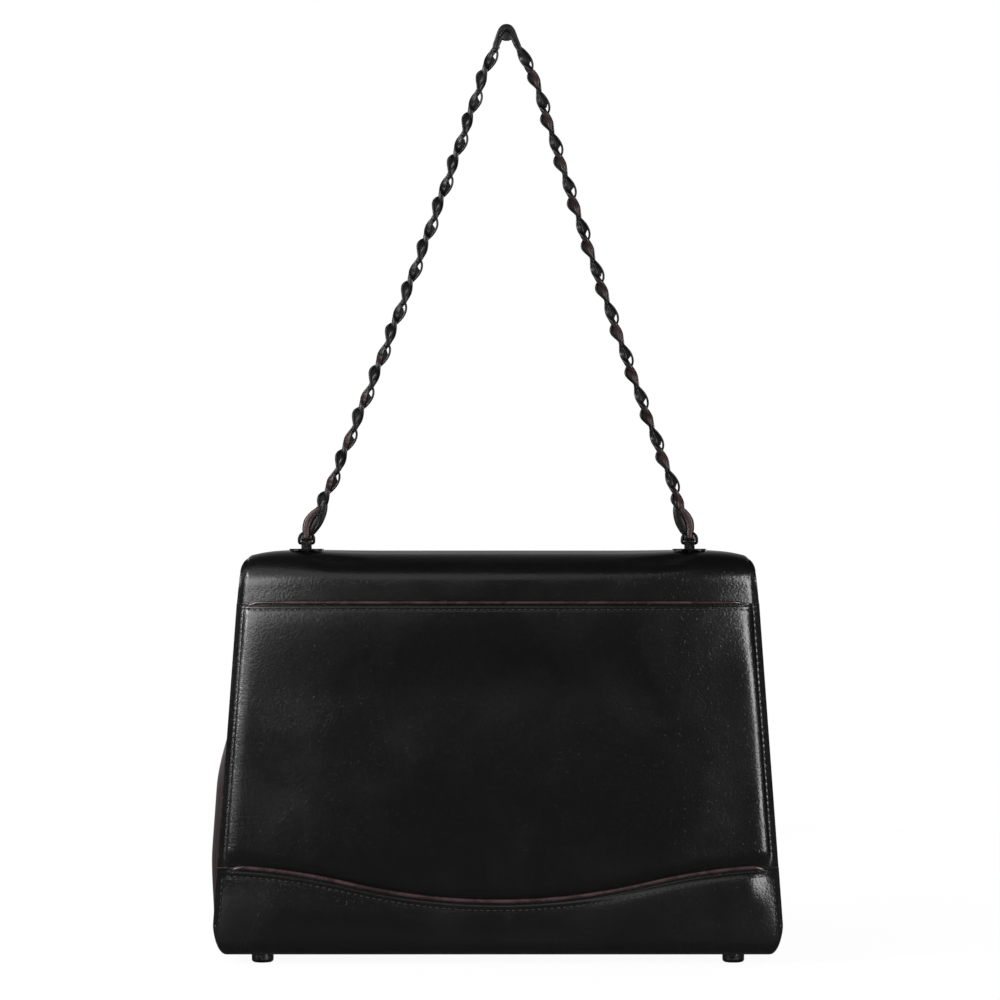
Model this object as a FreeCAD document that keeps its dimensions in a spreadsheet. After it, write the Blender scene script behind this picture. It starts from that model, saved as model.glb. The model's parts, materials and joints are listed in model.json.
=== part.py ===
import FreeCAD
import Part
import Sketcher
import collections
import itertools
import math
import os
import re

# Chain shoulder bag: leather body on four feet, a folding flap with a turn lock, a woven chain strap.
# Millimetres. X runs along the bag, the flap covers the +Y side, the slip pocket is on the -Y side,
# +Z is up and z = 0 is the floor under the feet.

SIZES = {
    # Body
    "foot_height": 4.5,
    "body_height": 198.0,
    "base_width": 281.4,
    "top_width": 253.4,
    "base_depth": 78.0,
    "top_depth": 63.0,
    "low_corner_radius": 14.0,
    "top_corner_radius": 14.0,
    "fold_radius": 6.0,
    "shoulder_radius": 8.0,
    # Leather, lining and board
    "panel_thickness": 2.4,
    "band_thickness": 1.8,
    "pocket_thickness": 1.8,
    "pocket_gap": 0.4,
    "gusset_thickness": 1.8,
    "lining_thickness": 0.8,
    "board_thickness": 3.0,
    "stiffener_thickness": 1.5,
    "piping_width": 1.6,
    # Edges and seams
    "seam_flange": 2.7,
    "gusset_top_drop": 3.4,
    "gusset_tab_length": 18.0,
    "pocket_edge_drop": 25.5,
    "mouth_drop": 37.5,
    "band_mid_height": 26.2,
    "band_rise": 17.2,
    "band_wave_half": 73.5,
    "inner_pocket_width": 160.0,
    "inner_pocket_low": 34.0,
    "inner_pocket_height": 92.0,
    "inner_pocket_thickness": 1.2,
    # Flap
    "flap_leather": 1.8,
    "flap_lining": 0.8,
    "flap_gap": 2.0,
    "flap_drop": 115.0,
    "flap_corner_radius": 30.0,
    "hinge_offset": 2.0,
    # Feet
    "foot_radius": 5.4,
    "foot_rim": 1.6,
    "foot_side_inset": 24.7,
    "foot_wall_inset": 14.0,
    "foot_screw_radius": 1.5,
    "foot_screw_bite": 3.0,
    "foot_head_radius": 3.2,
    "foot_head_height": 1.2,
    "foot_washer_radius": 4.2,
    "foot_washer_thickness": 0.6,
    # Strap anchors
    "anchor_side_inset": 31.7,
    "strap_setback": 12.0,
    "anchor_plate_length": 17.0,
    "anchor_plate_depth": 11.0,
    "anchor_plate_rounding": 5.2,
    "anchor_plate_thickness": 1.0,
    "post_width": 5.0,
    "post_radius": 2.3,
    "pin_rise": 2.7,
    "stud_radius": 2.0,
    "anchor_washer_radius": 4.4,
    "anchor_washer_thickness": 0.6,
    "anchor_nut_radius": 3.4,
    "anchor_nut_height": 2.0,
    # Turn lock
    "lock_drop": 95.0,
    "lock_plate_length": 27.0,
    "lock_plate_height": 18.0,
    "lock_plate_rounding": 4.0,
    "lock_plate_thickness": 0.8,
    "lock_post_radius": 2.6,
    "lock_washer_thickness": 0.7,
    "lock_rivet_spread": 20.0,
    "lock_rivet_radius": 0.9,
    "toggle_length": 15.0,
    "toggle_height": 5.4,
    "toggle_rounding": 2.4,
    "toggle_thickness": 3.0,
    "toggle_lift": 0.6,
    "toggle_screw_radius": 1.1,
    "toggle_head_radius": 1.8,
    "toggle_head_height": 0.9,
    "toggle_bite": 3.0,
    "eyelet_length": 32.0,
    "eyelet_height": 19.0,
    "eyelet_rounding": 6.0,
    "eyelet_thickness": 1.0,
    "eyelet_back_thickness": 0.6,
    "eyelet_rivet_spread": 26.0,
    "slot_clearance": 1.6,
    # Chain strap
    "ring_wire": 1.5,
    "ring_corner": 1.0,
    "ring_side_gap": 0.4,
    "ring_reach": 5.3,
    "strap_rise": 255.3,
    "apex_offset": 4.2,
    "link_pitch": 11.0,
    "link_wire": 1.3,
    "link_width": 6.9,
    "link_play": 0.45,
    "links_count": 24,
    "low_knee_count": 2,
    "high_knee_count": 4,
    "link_roll_angle": 45,
    "lace_radius": 1.0,
    "lace_clearance": 0.22,
    "lace_bend": 2.6,
    "lace_apex_lift": 0.6,
    # Clearances and overrun
    "seat_gap": 0.05,
    "pin_clearance": 0.08,
    "hole_clearance": 0.15,
    "soft_gap": 0.3,
    "cut_overrun": 5.0,
}

# Shares of the run between two crossings where the lace starts and where it stops beside a knee
LACE_START_SHARE = 0.4
LACE_CUT_SHARE = 0.2

# Largest difference allowed between a swept tube's volume and its section times its length
SWEEP_TOLERANCE_SHARE = 0.01

Corner = collections.namedtuple("Corner", "across up rounding bow", defaults=(None, None))

doc = FreeCAD.newDocument("chain_shoulder_bag")
sheet = doc.addObject("Spreadsheet::Sheet", "sizes")
for row, (alias, number) in enumerate(SIZES.items(), start=1):
    sheet.set(f"A{row}", alias)
    sheet.set(f"B{row}", str(number))
    sheet.setAlias(f"B{row}", alias)
doc.recompute()

nodes = {}


def bound(formula):
    """The formula with each size name pointing at its cell."""
    return re.sub(r"[a-z_]+", lambda word: f"sizes.{word[0]}" if word[0] in SIZES else word[0], formula)


def value(formula):
    result = sheet.evalExpression(bound(formula))
    return float(getattr(result, "Value", result))


def node(name, shape_object):
    shape_object.Label = name
    nodes[name] = shape_object
    return shape_object


# Levels and walls, as formulas of the sizes

TOP = "(foot_height + body_height)"
LEAN = "((base_depth - top_depth) / 2 / body_height)"
PANEL_FOOT = "(foot_height + fold_radius + soft_gap)"
FLAP_THICKNESS = "(flap_leather + flap_lining)"
FOLD_Z = f"({TOP} - {FLAP_THICKNESS})"
LOCK_RISE = f"({FOLD_Z} - lock_drop - foot_height)"
LOCK_REACH = (
    f"(flap_gap + {FLAP_THICKNESS} + eyelet_thickness + toggle_lift + toggle_thickness"
    f" - band_thickness - {LEAN} * {LOCK_RISE})"
)
MIDDLE_Y = f"(-({LOCK_REACH} + {LEAN} * (toggle_height / 2 + fold_radius)) / 2)"
BACK_INSET = "(band_thickness + pocket_thickness + pocket_gap)"
BACK_INNER = f"({BACK_INSET} + panel_thickness)"
FRONT_INNER = "(band_thickness + panel_thickness)"
BAND_FLOOR = "(foot_height + band_thickness)"
BOARD_TOP = f"({BAND_FLOOR} + board_thickness)"
HINGE_Y = f"({MIDDLE_Y} + hinge_offset)"
STRAP_Y = f"({MIDDLE_Y} - strap_setback)"
ANCHOR_X = "(top_width / 2 - anchor_side_inset)"
PIN_Z = f"({TOP} + anchor_plate_thickness + pin_rise)"
GUSSET_INSET = "(seam_flange + gusset_thickness)"
TOP_UNDERSIDE = f"({TOP} - panel_thickness)"
BAND_CURVE = "((band_wave_half ^ 2 + (band_rise / 2) ^ 2) / band_rise)"
LINING_TOP = f"({TOP_UNDERSIDE} - shoulder_radius)"
SIDE_LINING_TOP = f"({TOP} - gusset_top_drop - top_corner_radius)"


def half_width(level):
    return f"(base_width / 2 - (base_width - top_width) / 2 * ({level} - foot_height) / body_height)"


def wall(side, inset, level):
    """Y of the back (-1) or front (1) wall, this far inside the band's outer face."""
    return f"({MIDDLE_Y} + {side} * (base_depth / 2 - {inset} - {LEAN} * ({level} - foot_height)))"


FOLD_Y = wall(1, "(band_thickness - flap_gap)", FOLD_Z)
FOLD_FRAME = f"placement(vector(0; {FOLD_Y}; {FOLD_Z}); rotation(vector(1; 0; 0); atan({LEAN})))"


# Sketches

PLANE_SIGN = {"XY_Plane": 1, "XZ_Plane": -1, "YZ_Plane": 1}


def new_sketch(body, plane, name, level="0"):
    sketch = body.newObject("Sketcher::SketchObject", f"{body.Name}_{name}")
    support = next(part for part in body.Origin.OriginFeatures if part.Role == plane)
    sketch.AttachmentSupport = [(support, "")]
    sketch.MapMode = "FlatFace"
    sketch.setExpression("AttachmentOffset.Base.z", bound(f"{PLANE_SIGN[plane]} * ({level})"))
    return sketch


def pin_point(sketch, geometry, place, across, up):
    """Hold a point of the sketch at a pair of formulas."""
    for kind, formula in (("DistanceX", across), ("DistanceY", up)):
        rule = Sketcher.Constraint(kind, -1, 1, geometry, place, value(formula))
        index = sketch.addConstraint(rule)
        sketch.setExpression(f"Constraints[{index}]", bound(formula))


def set_radius(sketch, geometry, formula):
    index = sketch.addConstraint(Sketcher.Constraint("Radius", geometry, value(formula)))
    sketch.setExpression(f"Constraints[{index}]", bound(formula))


def add_arc(sketch, centre, start, end, leftward):
    """Arc from start to end; gives its geometry and which of its ends are the first and the last."""
    first, last = (start, end) if leftward else (end, start)
    angles = [math.atan2(point.y - centre.y, point.x - centre.x) for point in (first, last)]
    circle = Part.Circle(centre, FreeCAD.Vector(0, 0, 1), (start - centre).Length)
    geometry = sketch.addGeometry(Part.ArcOfCircle(circle, *angles), False)
    return geometry, (1, 2) if leftward else (2, 1)


def add_circle(sketch, across, up, radius):
    centre = FreeCAD.Vector(value(across), value(up), 0)
    circle = Part.Circle(centre, FreeCAD.Vector(0, 0, 1), value(radius))
    geometry = sketch.addGeometry(circle, False)
    set_radius(sketch, geometry, radius)
    pin_point(sketch, geometry, 3, across, up)


def add_loop(sketch, corners):
    """Closed outline through the corners, rounded or bowed where they say so."""
    count = len(corners)
    points = [FreeCAD.Vector(value(corner.across), value(corner.up), 0) for corner in corners]
    marks = []
    for corner, point in zip(corners, points):
        marks.append(sketch.addGeometry(Part.Point(point), True))
        pin_point(sketch, marks[-1], 1, corner.across, corner.up)
    headings = [(points[(i + 1) % count] - points[i]).normalize() for i in range(count)]
    turns = [headings[i - 1].getAngle(headings[i]) for i in range(count)]
    radii = [value(corner.rounding) if corner.rounding else 0 for corner in corners]
    setbacks = [radius * math.tan(turn / 2) for radius, turn in zip(radii, turns)]
    edges = []
    for i, corner in enumerate(corners):
        after = (i + 1) % count
        start = points[i] + headings[i] * setbacks[i]
        end = points[after] - headings[i] * setbacks[after]
        if corner.bow is None:
            edges.append((sketch.addGeometry(Part.LineSegment(start, end), False), (1, 2)))
            continue
        radius, leftward = corner.bow
        normal = FreeCAD.Vector(-headings[i].y, headings[i].x, 0) * (1 if leftward else -1)
        rise = math.sqrt(value(radius) ** 2 - ((end - start).Length / 2) ** 2)
        edges.append(add_arc(sketch, (start + end) / 2 + normal * rise, start, end, leftward))
        set_radius(sketch, edges[-1][0], radius)
    for i, corner in enumerate(corners):
        before, (_, before_end) = edges[i - 1]
        after, (after_start, _) = edges[i]
        if corner.rounding is None:
            sketch.addConstraint(Sketcher.Constraint("Coincident", before, before_end, marks[i], 1))
            sketch.addConstraint(Sketcher.Constraint("Coincident", after, after_start, marks[i], 1))
            continue
        leftward = headings[i - 1].cross(headings[i]).z > 0
        inward = (headings[i] - headings[i - 1]).normalize()
        centre = points[i] + inward * (radii[i] / math.cos(turns[i] / 2))
        start = points[i] - headings[i - 1] * setbacks[i]
        end = points[i] + headings[i] * setbacks[i]
        arc, (first, last) = add_arc(sketch, centre, start, end, leftward)
        sketch.addConstraint(Sketcher.Constraint("Tangent", before, before_end, arc, first))
        sketch.addConstraint(Sketcher.Constraint("Tangent", arc, last, after, after_start))
        sketch.addConstraint(Sketcher.Constraint("PointOnObject", marks[i], 1, before))
        sketch.addConstraint(Sketcher.Constraint("PointOnObject", marks[i], 1, after))
        set_radius(sketch, arc, corner.rounding)


def rectangle(low_across, low_up, high_across, high_up, rounding=None):
    return [
        Corner(low_across, low_up, rounding),
        Corner(high_across, low_up, rounding),
        Corner(high_across, high_up, rounding),
        Corner(low_across, high_up, rounding),
    ]


def upright(half_low, low, half_high, high, low_rounding=None, high_rounding=None):
    """Outline symmetric about the middle, given by its half widths at two levels."""
    return [
        Corner(f"-{half_low}", low, low_rounding),
        Corner(half_low, low, low_rounding),
        Corner(half_high, high, high_rounding),
        Corner(f"-{half_high}", high, high_rounding),
    ]


# Features of a body

def new_body(name):
    return node(name, doc.addObject("PartDesign::Body", name))


def pad(body, sketch, length):
    doc.recompute()
    feature = body.newObject("PartDesign::Pad", f"{sketch.Name}_pad")
    feature.Profile = sketch
    feature.SideType = "Symmetric"
    feature.setExpression("Length", bound(length))
    doc.recompute()


def cut(body, sketch):
    """Cut the sketch through the whole body, both ways, and see that it took something away."""
    doc.recompute()
    before = body.Shape.Volume
    feature = body.newObject("PartDesign::Pocket", f"{sketch.Name}_cut")
    feature.Profile = sketch
    feature.SideType = "Symmetric"
    feature.Type = "ThroughAll"
    doc.recompute()
    if not body.Shape.Volume < before:
        raise RuntimeError(f"{sketch.Name} cuts nothing")


def pad_loop(body, plane, name, corners, length, level="0"):
    sketch = new_sketch(body, plane, name, level)
    add_loop(sketch, corners)
    pad(body, sketch, length)


def cut_loop(body, plane, name, corners):
    sketch = new_sketch(body, plane, name)
    add_loop(sketch, corners)
    cut(body, sketch)


def cut_circles(body, plane, name, places, radius):
    sketch = new_sketch(body, plane, name)
    for across, up in places:
        add_circle(sketch, across, up, radius)
    cut(body, sketch)


def keep_inside(body, plane, name, corners):
    """Cut away all that lies outside the outline."""
    sketch = new_sketch(body, plane, name)
    reach = "(base_width + body_height + foot_height)"
    add_loop(sketch, rectangle(f"-{reach}", f"-{reach}", reach, reach))
    add_loop(sketch, corners)
    cut(body, sketch)


BODY_LENGTH = "(base_width + top_width)"
BODY_DEPTH = "(2 * base_depth)"


def body_outline(top_level=TOP, inset="0"):
    """The bag seen from the back, its side edges moved in by the inset."""
    return upright(
        f"({half_width('foot_height')} - {inset})", "foot_height",
        f"({half_width(top_level)} - {inset})", top_level,
        f"(low_corner_radius - {inset})", f"(top_corner_radius - {inset})" if top_level == TOP else None,
    )


def wall_section(side, outer, thickness, low, high):
    """Section of a sheet that lies along one leaning wall."""
    inner = f"({outer} + {thickness})"
    corners = [
        Corner(wall(side, outer, low), low),
        Corner(wall(side, inner, low), low),
        Corner(wall(side, inner, high), high),
        Corner(wall(side, outer, high), high),
    ]
    return corners if side < 0 else corners[::-1]


# Body panels

def make_back_panel():
    body = new_body("back_panel")
    end = f"({HINGE_Y} - soft_gap)"
    pad_loop(body, "YZ_Plane", "section", [
        Corner(wall(-1, BACK_INSET, PANEL_FOOT), PANEL_FOOT),
        Corner(wall(-1, BACK_INNER, PANEL_FOOT), PANEL_FOOT),
        Corner(wall(-1, BACK_INNER, TOP_UNDERSIDE), TOP_UNDERSIDE, "(shoulder_radius - panel_thickness)"),
        Corner(end, TOP_UNDERSIDE),
        Corner(end, TOP),
        Corner(wall(-1, BACK_INSET, TOP), TOP, "shoulder_radius"),
    ], BODY_LENGTH)
    keep_inside(body, "XZ_Plane", "outline", body_outline())
    places = [(f"{side} * {ANCHOR_X}", STRAP_Y) for side in (-1, 1)]
    cut_circles(body, "XY_Plane", "stud_holes", places, "(stud_radius + hole_clearance)")


def make_back_pocket():
    body = new_body("back_pocket_panel")
    edge = f"({TOP} - pocket_edge_drop)"
    section = wall_section(-1, "band_thickness", "pocket_thickness", PANEL_FOOT, edge)
    pad_loop(body, "YZ_Plane", "section", section, BODY_LENGTH)
    keep_inside(body, "XZ_Plane", "outline", body_outline())
    piping = new_body("pocket_piping")
    low = f"({edge} + seat_gap)"
    section = wall_section(-1, "band_thickness", "pocket_thickness", low, f"({low} + piping_width)")
    pad_loop(piping, "YZ_Plane", "section", section, BODY_LENGTH)
    keep_inside(piping, "XZ_Plane", "outline", body_outline())


def make_front_panel():
    body = new_body("front_panel")
    mouth = f"({TOP} - mouth_drop)"
    section = wall_section(1, "band_thickness", "panel_thickness", PANEL_FOOT, mouth)
    pad_loop(body, "YZ_Plane", "section", section, BODY_LENGTH)
    keep_inside(body, "XZ_Plane", "outline", body_outline())
    cut_circles(body, "XZ_Plane", "rivet_holes", lock_rivet_places(), "(lock_rivet_radius + hole_clearance)")
    binding = new_body("mouth_binding")
    low = f"({mouth} + seat_gap)"
    section = wall_section(1, "band_thickness", "panel_thickness", low, f"({low} + 2 * piping_width)")
    pad_loop(binding, "YZ_Plane", "section", section, BODY_LENGTH)
    keep_inside(binding, "XZ_Plane", "outline", body_outline())


def band_edge(lift, overhead):
    """Region between the band's curved upper edge, lifted a little, and a level far above or below it."""
    middle = f"(foot_height + band_mid_height + {lift})"
    bend = f"({middle} + band_rise / 2)"
    end = f"({middle} + band_rise)"
    far = "(2 * band_wave_half)"
    beyond = f"({far} + base_width)"
    return [
        Corner(f"-{beyond}", overhead),
        Corner(f"-{beyond}", end),
        Corner(f"-{far}", end, None, (f"({BAND_CURVE} + {lift})", False)),
        Corner("-band_wave_half", bend, None, (f"({BAND_CURVE} - {lift})", True)),
        Corner("band_wave_half", bend, None, (f"({BAND_CURVE} + {lift})", False)),
        Corner(far, end),
        Corner(beyond, end),
        Corner(beyond, overhead),
    ]


def make_base_band():
    body = new_body("base_band")
    high = "(foot_height + body_height / 2)"
    section = [
        Corner(wall(-1, "0", high), high),
        Corner(wall(-1, "0", "foot_height"), "foot_height", "fold_radius"),
        Corner(wall(1, "0", "foot_height"), "foot_height", "fold_radius"),
        Corner(wall(1, "0", high), high),
        Corner(wall(1, "band_thickness", high), high),
        Corner(wall(1, "band_thickness", BAND_FLOOR), BAND_FLOOR, "(fold_radius - band_thickness)"),
        Corner(wall(-1, "band_thickness", BAND_FLOOR), BAND_FLOOR, "(fold_radius - band_thickness)"),
        Corner(wall(-1, "band_thickness", high), high),
    ]
    pad_loop(body, "YZ_Plane", "section", section, BODY_LENGTH)
    keep_inside(body, "XZ_Plane", "outline", body_outline())
    cut_loop(body, "XZ_Plane", "edge", band_edge("0", TOP))
    cut_circles(body, "XY_Plane", "screw_holes", foot_places(), "(foot_screw_radius + hole_clearance)")
    for side, name in ((-1, "base_piping_back"), (1, "base_piping_front")):
        piping = new_body(name)
        section = wall_section(side, "0", "band_thickness", BAND_FLOOR, high)
        pad_loop(piping, "YZ_Plane", "section", section, BODY_LENGTH)
        keep_inside(piping, "XZ_Plane", "outline", body_outline())
        cut_loop(piping, "XZ_Plane", "upper", band_edge("(seat_gap + piping_width)", TOP))
        cut_loop(piping, "XZ_Plane", "lower", band_edge("seat_gap", "0"))


def side_strip(side, inset, thickness, low, high):
    """Straight strip inside one side edge of the bag."""
    outer = [f"{side} * ({half_width(level)} - {inset})" for level in (low, high)]
    inner = [f"{side} * ({half_width(level)} - {inset} - {thickness})" for level in (low, high)]
    return [Corner(inner[0], low), Corner(outer[0], low), Corner(outer[1], high), Corner(inner[1], high)]


def inside_section(back, front, low, high, rounding):
    """Section of the space between the two walls."""
    return [
        Corner(wall(-1, back, low), low),
        Corner(wall(1, front, low), low),
        Corner(wall(1, front, high), high),
        Corner(wall(-1, back, high), high, rounding),
    ]


def make_gusset(side, name):
    body = new_body(name)
    low = "(foot_height + seam_flange)"
    low_inner = "(foot_height + seam_flange + gusset_thickness)"
    high = f"({TOP} - gusset_top_drop)"
    high_inner = f"({TOP} - gusset_top_drop - gusset_thickness)"
    low_tab = f"{side} * ({half_width(low)} - gusset_tab_length)"
    high_tab = f"{side} * ({half_width(high)} - gusset_tab_length)"

    def edge(inset, level):
        return f"{side} * ({half_width(level)} - {inset})"

    strip = [
        Corner(low_tab, low),
        Corner(edge("seam_flange", low), low, "(low_corner_radius - seam_flange)"),
        Corner(edge("seam_flange", high), high, "(top_corner_radius - seam_flange)"),
        Corner(high_tab, high),
        Corner(high_tab, high_inner),
        Corner(edge(GUSSET_INSET, high_inner), high_inner, f"(top_corner_radius - {GUSSET_INSET})"),
        Corner(edge(GUSSET_INSET, low_inner), low_inner, f"(low_corner_radius - {GUSSET_INSET})"),
        Corner(low_tab, low_inner),
    ]
    pad_loop(body, "XZ_Plane", "strip", strip, BODY_DEPTH)
    shoulder = "(shoulder_radius - panel_thickness)"
    section = inside_section(BACK_INNER, FRONT_INNER, "0", TOP_UNDERSIDE, shoulder)
    keep_inside(body, "YZ_Plane", "section", section)


def make_linings():
    inset = f"({GUSSET_INSET} + lining_thickness + soft_gap)"
    low = f"({BOARD_TOP} + lining_thickness + soft_gap)"
    mouth = f"({TOP} - mouth_drop)"
    for side, outer, high, name in (
        (-1, BACK_INNER, LINING_TOP, "lining_back"),
        (1, FRONT_INNER, mouth, "lining_front"),
    ):
        body = new_body(name)
        section = wall_section(side, outer, "lining_thickness", low, high)
        pad_loop(body, "YZ_Plane", "section", section, BODY_LENGTH)
        half = [f"({half_width(level)} - {inset})" for level in (low, high)]
        outline = upright(half[0], low, half[1], high, "(low_corner_radius - seam_flange)")
        keep_inside(body, "XZ_Plane", "outline", outline)
        if side > 0:
            holes = "(lock_rivet_radius + hole_clearance)"
            cut_circles(body, "XZ_Plane", "rivet_holes", lock_rivet_places(), holes)
    side_low = f"({low} + low_corner_radius)"
    side_inset = f"({GUSSET_INSET} + seat_gap)"
    for side, name in ((-1, "lining_left"), (1, "lining_right")):
        body = new_body(name)
        strip = side_strip(side, side_inset, "lining_thickness", side_low, SIDE_LINING_TOP)
        pad_loop(body, "XZ_Plane", "strip", strip, BODY_DEPTH)
        section = inside_section(f"({BACK_INNER} + soft_gap)", f"({FRONT_INNER} + soft_gap)", "0", TOP, None)
        keep_inside(body, "YZ_Plane", "section", section)
    body = new_body("lining_base")
    half = f"({half_width('foot_height')} - gusset_tab_length)"
    back = f"({BACK_INNER} + soft_gap)"
    plan = rectangle(f"-{half}", wall(-1, back, BOARD_TOP), half, wall(1, back, BOARD_TOP))
    pad_loop(body, "XY_Plane", "plan", plan, "lining_thickness", f"({BOARD_TOP} + lining_thickness / 2)")


def make_stiffeners():
    board = new_body("base_board")
    half = f"({half_width('foot_height')} - gusset_tab_length - soft_gap)"
    back = f"({BACK_INNER} + soft_gap)"
    plan = rectangle(f"-{half}", wall(-1, back, BAND_FLOOR), half, wall(1, back, BAND_FLOOR))
    pad_loop(board, "XY_Plane", "plan", plan, "board_thickness", f"({BAND_FLOOR} + board_thickness / 2)")
    cut_circles(board, "XY_Plane", "screw_holes", foot_places(), "(foot_screw_radius + hole_clearance)")
    recess = "(foot_head_height + foot_washer_thickness)"
    for number, (across, along) in enumerate(foot_places(), start=1):
        sketch = new_sketch(board, "XY_Plane", f"recess_{number}", BOARD_TOP)
        add_circle(sketch, across, along, "(foot_washer_radius + hole_clearance)")
        doc.recompute()
        feature = board.newObject("PartDesign::Pocket", f"{sketch.Name}_cut")
        feature.Profile = sketch
        feature.setExpression("Length", bound(recess))
        doc.recompute()
    top = new_body("top_stiffener")
    half = f"({half_width(TOP)} - gusset_tab_length - soft_gap)"
    near = f"({wall(-1, BACK_INNER, TOP_UNDERSIDE)} + shoulder_radius)"
    plan = rectangle(f"-{half}", near, half, f"({HINGE_Y} - soft_gap)")
    middle = f"({TOP_UNDERSIDE} - stiffener_thickness / 2)"
    pad_loop(top, "XY_Plane", "plan", plan, "stiffener_thickness", middle)
    places = [(f"{side} * {ANCHOR_X}", STRAP_Y) for side in (-1, 1)]
    cut_circles(top, "XY_Plane", "stud_holes", places, "(stud_radius + hole_clearance)")


def make_inner_pocket():
    body = new_body("inner_slip_pocket")
    low = "(foot_height + inner_pocket_low)"
    high = f"({low} + inner_pocket_height)"
    section = wall_section(-1, f"({BACK_INNER} + lining_thickness)", "inner_pocket_thickness", low, high)
    pad_loop(body, "YZ_Plane", "section", section, "inner_pocket_width")


# Round pieces

def rod(name, radius, length, frame):
    """Cylinder that stands on the origin of a frame, along the frame's own Z."""
    cylinder = doc.addObject("Part::Cylinder", name)
    cylinder.setExpression("Radius", bound(radius))
    cylinder.setExpression("Height", bound(length))
    cylinder.setExpression("Placement", bound(frame))
    return cylinder


def at(across, along, level):
    return f"placement(vector({across}; {along}; {level}); rotation(vector(1; 0; 0); 0))"


def washer(name, radius, bore, thickness, frame):
    ring = doc.addObject("Part::Cut", name)
    ring.Base = rod(f"{name}_disc", radius, thickness, frame)
    ring.Tool = rod(f"{name}_bore", bore, thickness, frame)
    return ring


def headed(name, shank, shank_length, head, head_height, frame):
    """Screw: a head on top of a shank that stands on the frame's origin."""
    screw = doc.addObject("Part::Fuse", name)
    screw.Base = rod(f"{name}_shank", shank, shank_length, frame)
    lift = f"{frame} * placement(vector(0; 0; {shank_length}); rotation(vector(1; 0; 0); 0))"
    screw.Tool = rod(f"{name}_head", head, head_height, lift)
    screw.Refine = True
    return screw


def group(name, members):
    compound = doc.addObject("Part::Compound", name)
    compound.Links = members
    return node(name, compound)


def foot_places():
    across = [f"({side} * (base_width / 2 - foot_side_inset))" for side in (-1, 1)]
    along = [f"({MIDDLE_Y} + {side} * (base_depth / 2 - foot_wall_inset))" for side in (-1, 1)]
    return list(itertools.product(across, along))


def make_foot(number, across, along):
    foot = doc.addObject("PartDesign::Body", f"foot_{number}")
    sketch = new_sketch(foot, "XZ_Plane", "section")
    bore = "(foot_screw_radius + seat_gap)"
    bore_floor = "(foot_height - foot_screw_bite - seat_gap)"
    add_loop(sketch, [
        Corner("0", "0"),
        Corner("foot_radius", "0", "foot_rim"),
        Corner("foot_radius", "foot_height"),
        Corner(bore, "foot_height"),
        Corner(bore, bore_floor),
        Corner("0", bore_floor),
    ])
    doc.recompute()
    turned = foot.newObject("PartDesign::Revolution", f"{foot.Name}_turned")
    turned.Profile = sketch
    turned.ReferenceAxis = (sketch, ["V_Axis"])
    foot.setExpression("Placement", bound(at(across, along, "0")))
    doc.recompute()
    return foot


def make_feet():
    feet = []
    washers = []
    screws = []
    seat = f"({BOARD_TOP} - foot_head_height - foot_washer_thickness)"
    screw_foot = "(foot_height - foot_screw_bite)"
    shank = f"({seat} + foot_washer_thickness - {screw_foot})"
    bore = "(foot_screw_radius + hole_clearance)"
    for number, (across, along) in enumerate(foot_places(), start=1):
        feet.append(make_foot(number, across, along))
        frame = at(across, along, seat)
        name = f"foot_washer_{number}"
        washers.append(washer(name, "foot_washer_radius", bore, "foot_washer_thickness", frame))
        frame = at(across, along, screw_foot)
        name = f"foot_screw_{number}"
        screws.append(headed(name, "foot_screw_radius", shank, "foot_head_radius", "foot_head_height", frame))
    group("feet", feet)
    group("foot_washers", washers)
    group("foot_screws", screws)


# Strap anchors

def make_anchor(side, name):
    body = new_body(name)
    across = f"({side} * {ANCHOR_X})"
    plate = rectangle("-anchor_plate_length / 2", "-anchor_plate_depth / 2",
                      "anchor_plate_length / 2", "anchor_plate_depth / 2", "anchor_plate_rounding")
    pad_loop(body, "XY_Plane", "plate", plate, "anchor_plate_thickness", "anchor_plate_thickness / 2")
    pin = "(anchor_plate_thickness + pin_rise)"
    post = [
        Corner("-post_radius", "0"),
        Corner("post_radius", "0"),
        Corner("post_radius", pin, None, ("post_radius", True)),
        Corner("0", f"({pin} + post_radius)", None, ("post_radius", True)),
        Corner("-post_radius", pin),
    ]
    pad_loop(body, "YZ_Plane", "post", post, "post_width")
    cut_circles(body, "YZ_Plane", "eye", [("0", pin)], "(ring_wire / 2 + pin_clearance)")
    stud = "(panel_thickness + stiffener_thickness + anchor_washer_thickness + anchor_nut_height)"
    sketch = new_sketch(body, "XY_Plane", "stud", f"(-{stud} / 2)")
    add_circle(sketch, "0", "0", "stud_radius")
    pad(body, sketch, stud)
    body.setExpression("Placement", bound(at(across, STRAP_Y, TOP)))


def make_anchor_fasteners():
    washers = []
    nuts = []
    bore = "(stud_radius + seat_gap)"
    washer_low = f"({TOP_UNDERSIDE} - stiffener_thickness - anchor_washer_thickness)"
    nut_low = f"({washer_low} - anchor_nut_height)"
    for number, side in enumerate((-1, 1), start=1):
        across = f"({side} * {ANCHOR_X})"
        name = f"anchor_washer_{number}"
        frame = at(across, STRAP_Y, washer_low)
        washers.append(washer(name, "anchor_washer_radius", bore, "anchor_washer_thickness", frame))
        nut = doc.addObject("Part::Cut", f"anchor_nut_{number}")
        nut.Base = doc.addObject("Part::Prism", f"{nut.Name}_hexagon")
        nut.Base.setExpression("Circumradius", bound("anchor_nut_radius"))
        nut.Base.setExpression("Height", bound("anchor_nut_height"))
        nut.Base.setExpression("Placement", bound(at(across, STRAP_Y, nut_low)))
        nut.Tool = rod(f"{nut.Name}_bore", bore, "anchor_nut_height", at(across, STRAP_Y, nut_low))
        nuts.append(nut)
    group("anchor_washers", washers)
    group("anchor_nuts", nuts)


# Flap, in two panels that fold along the front top edge

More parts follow.
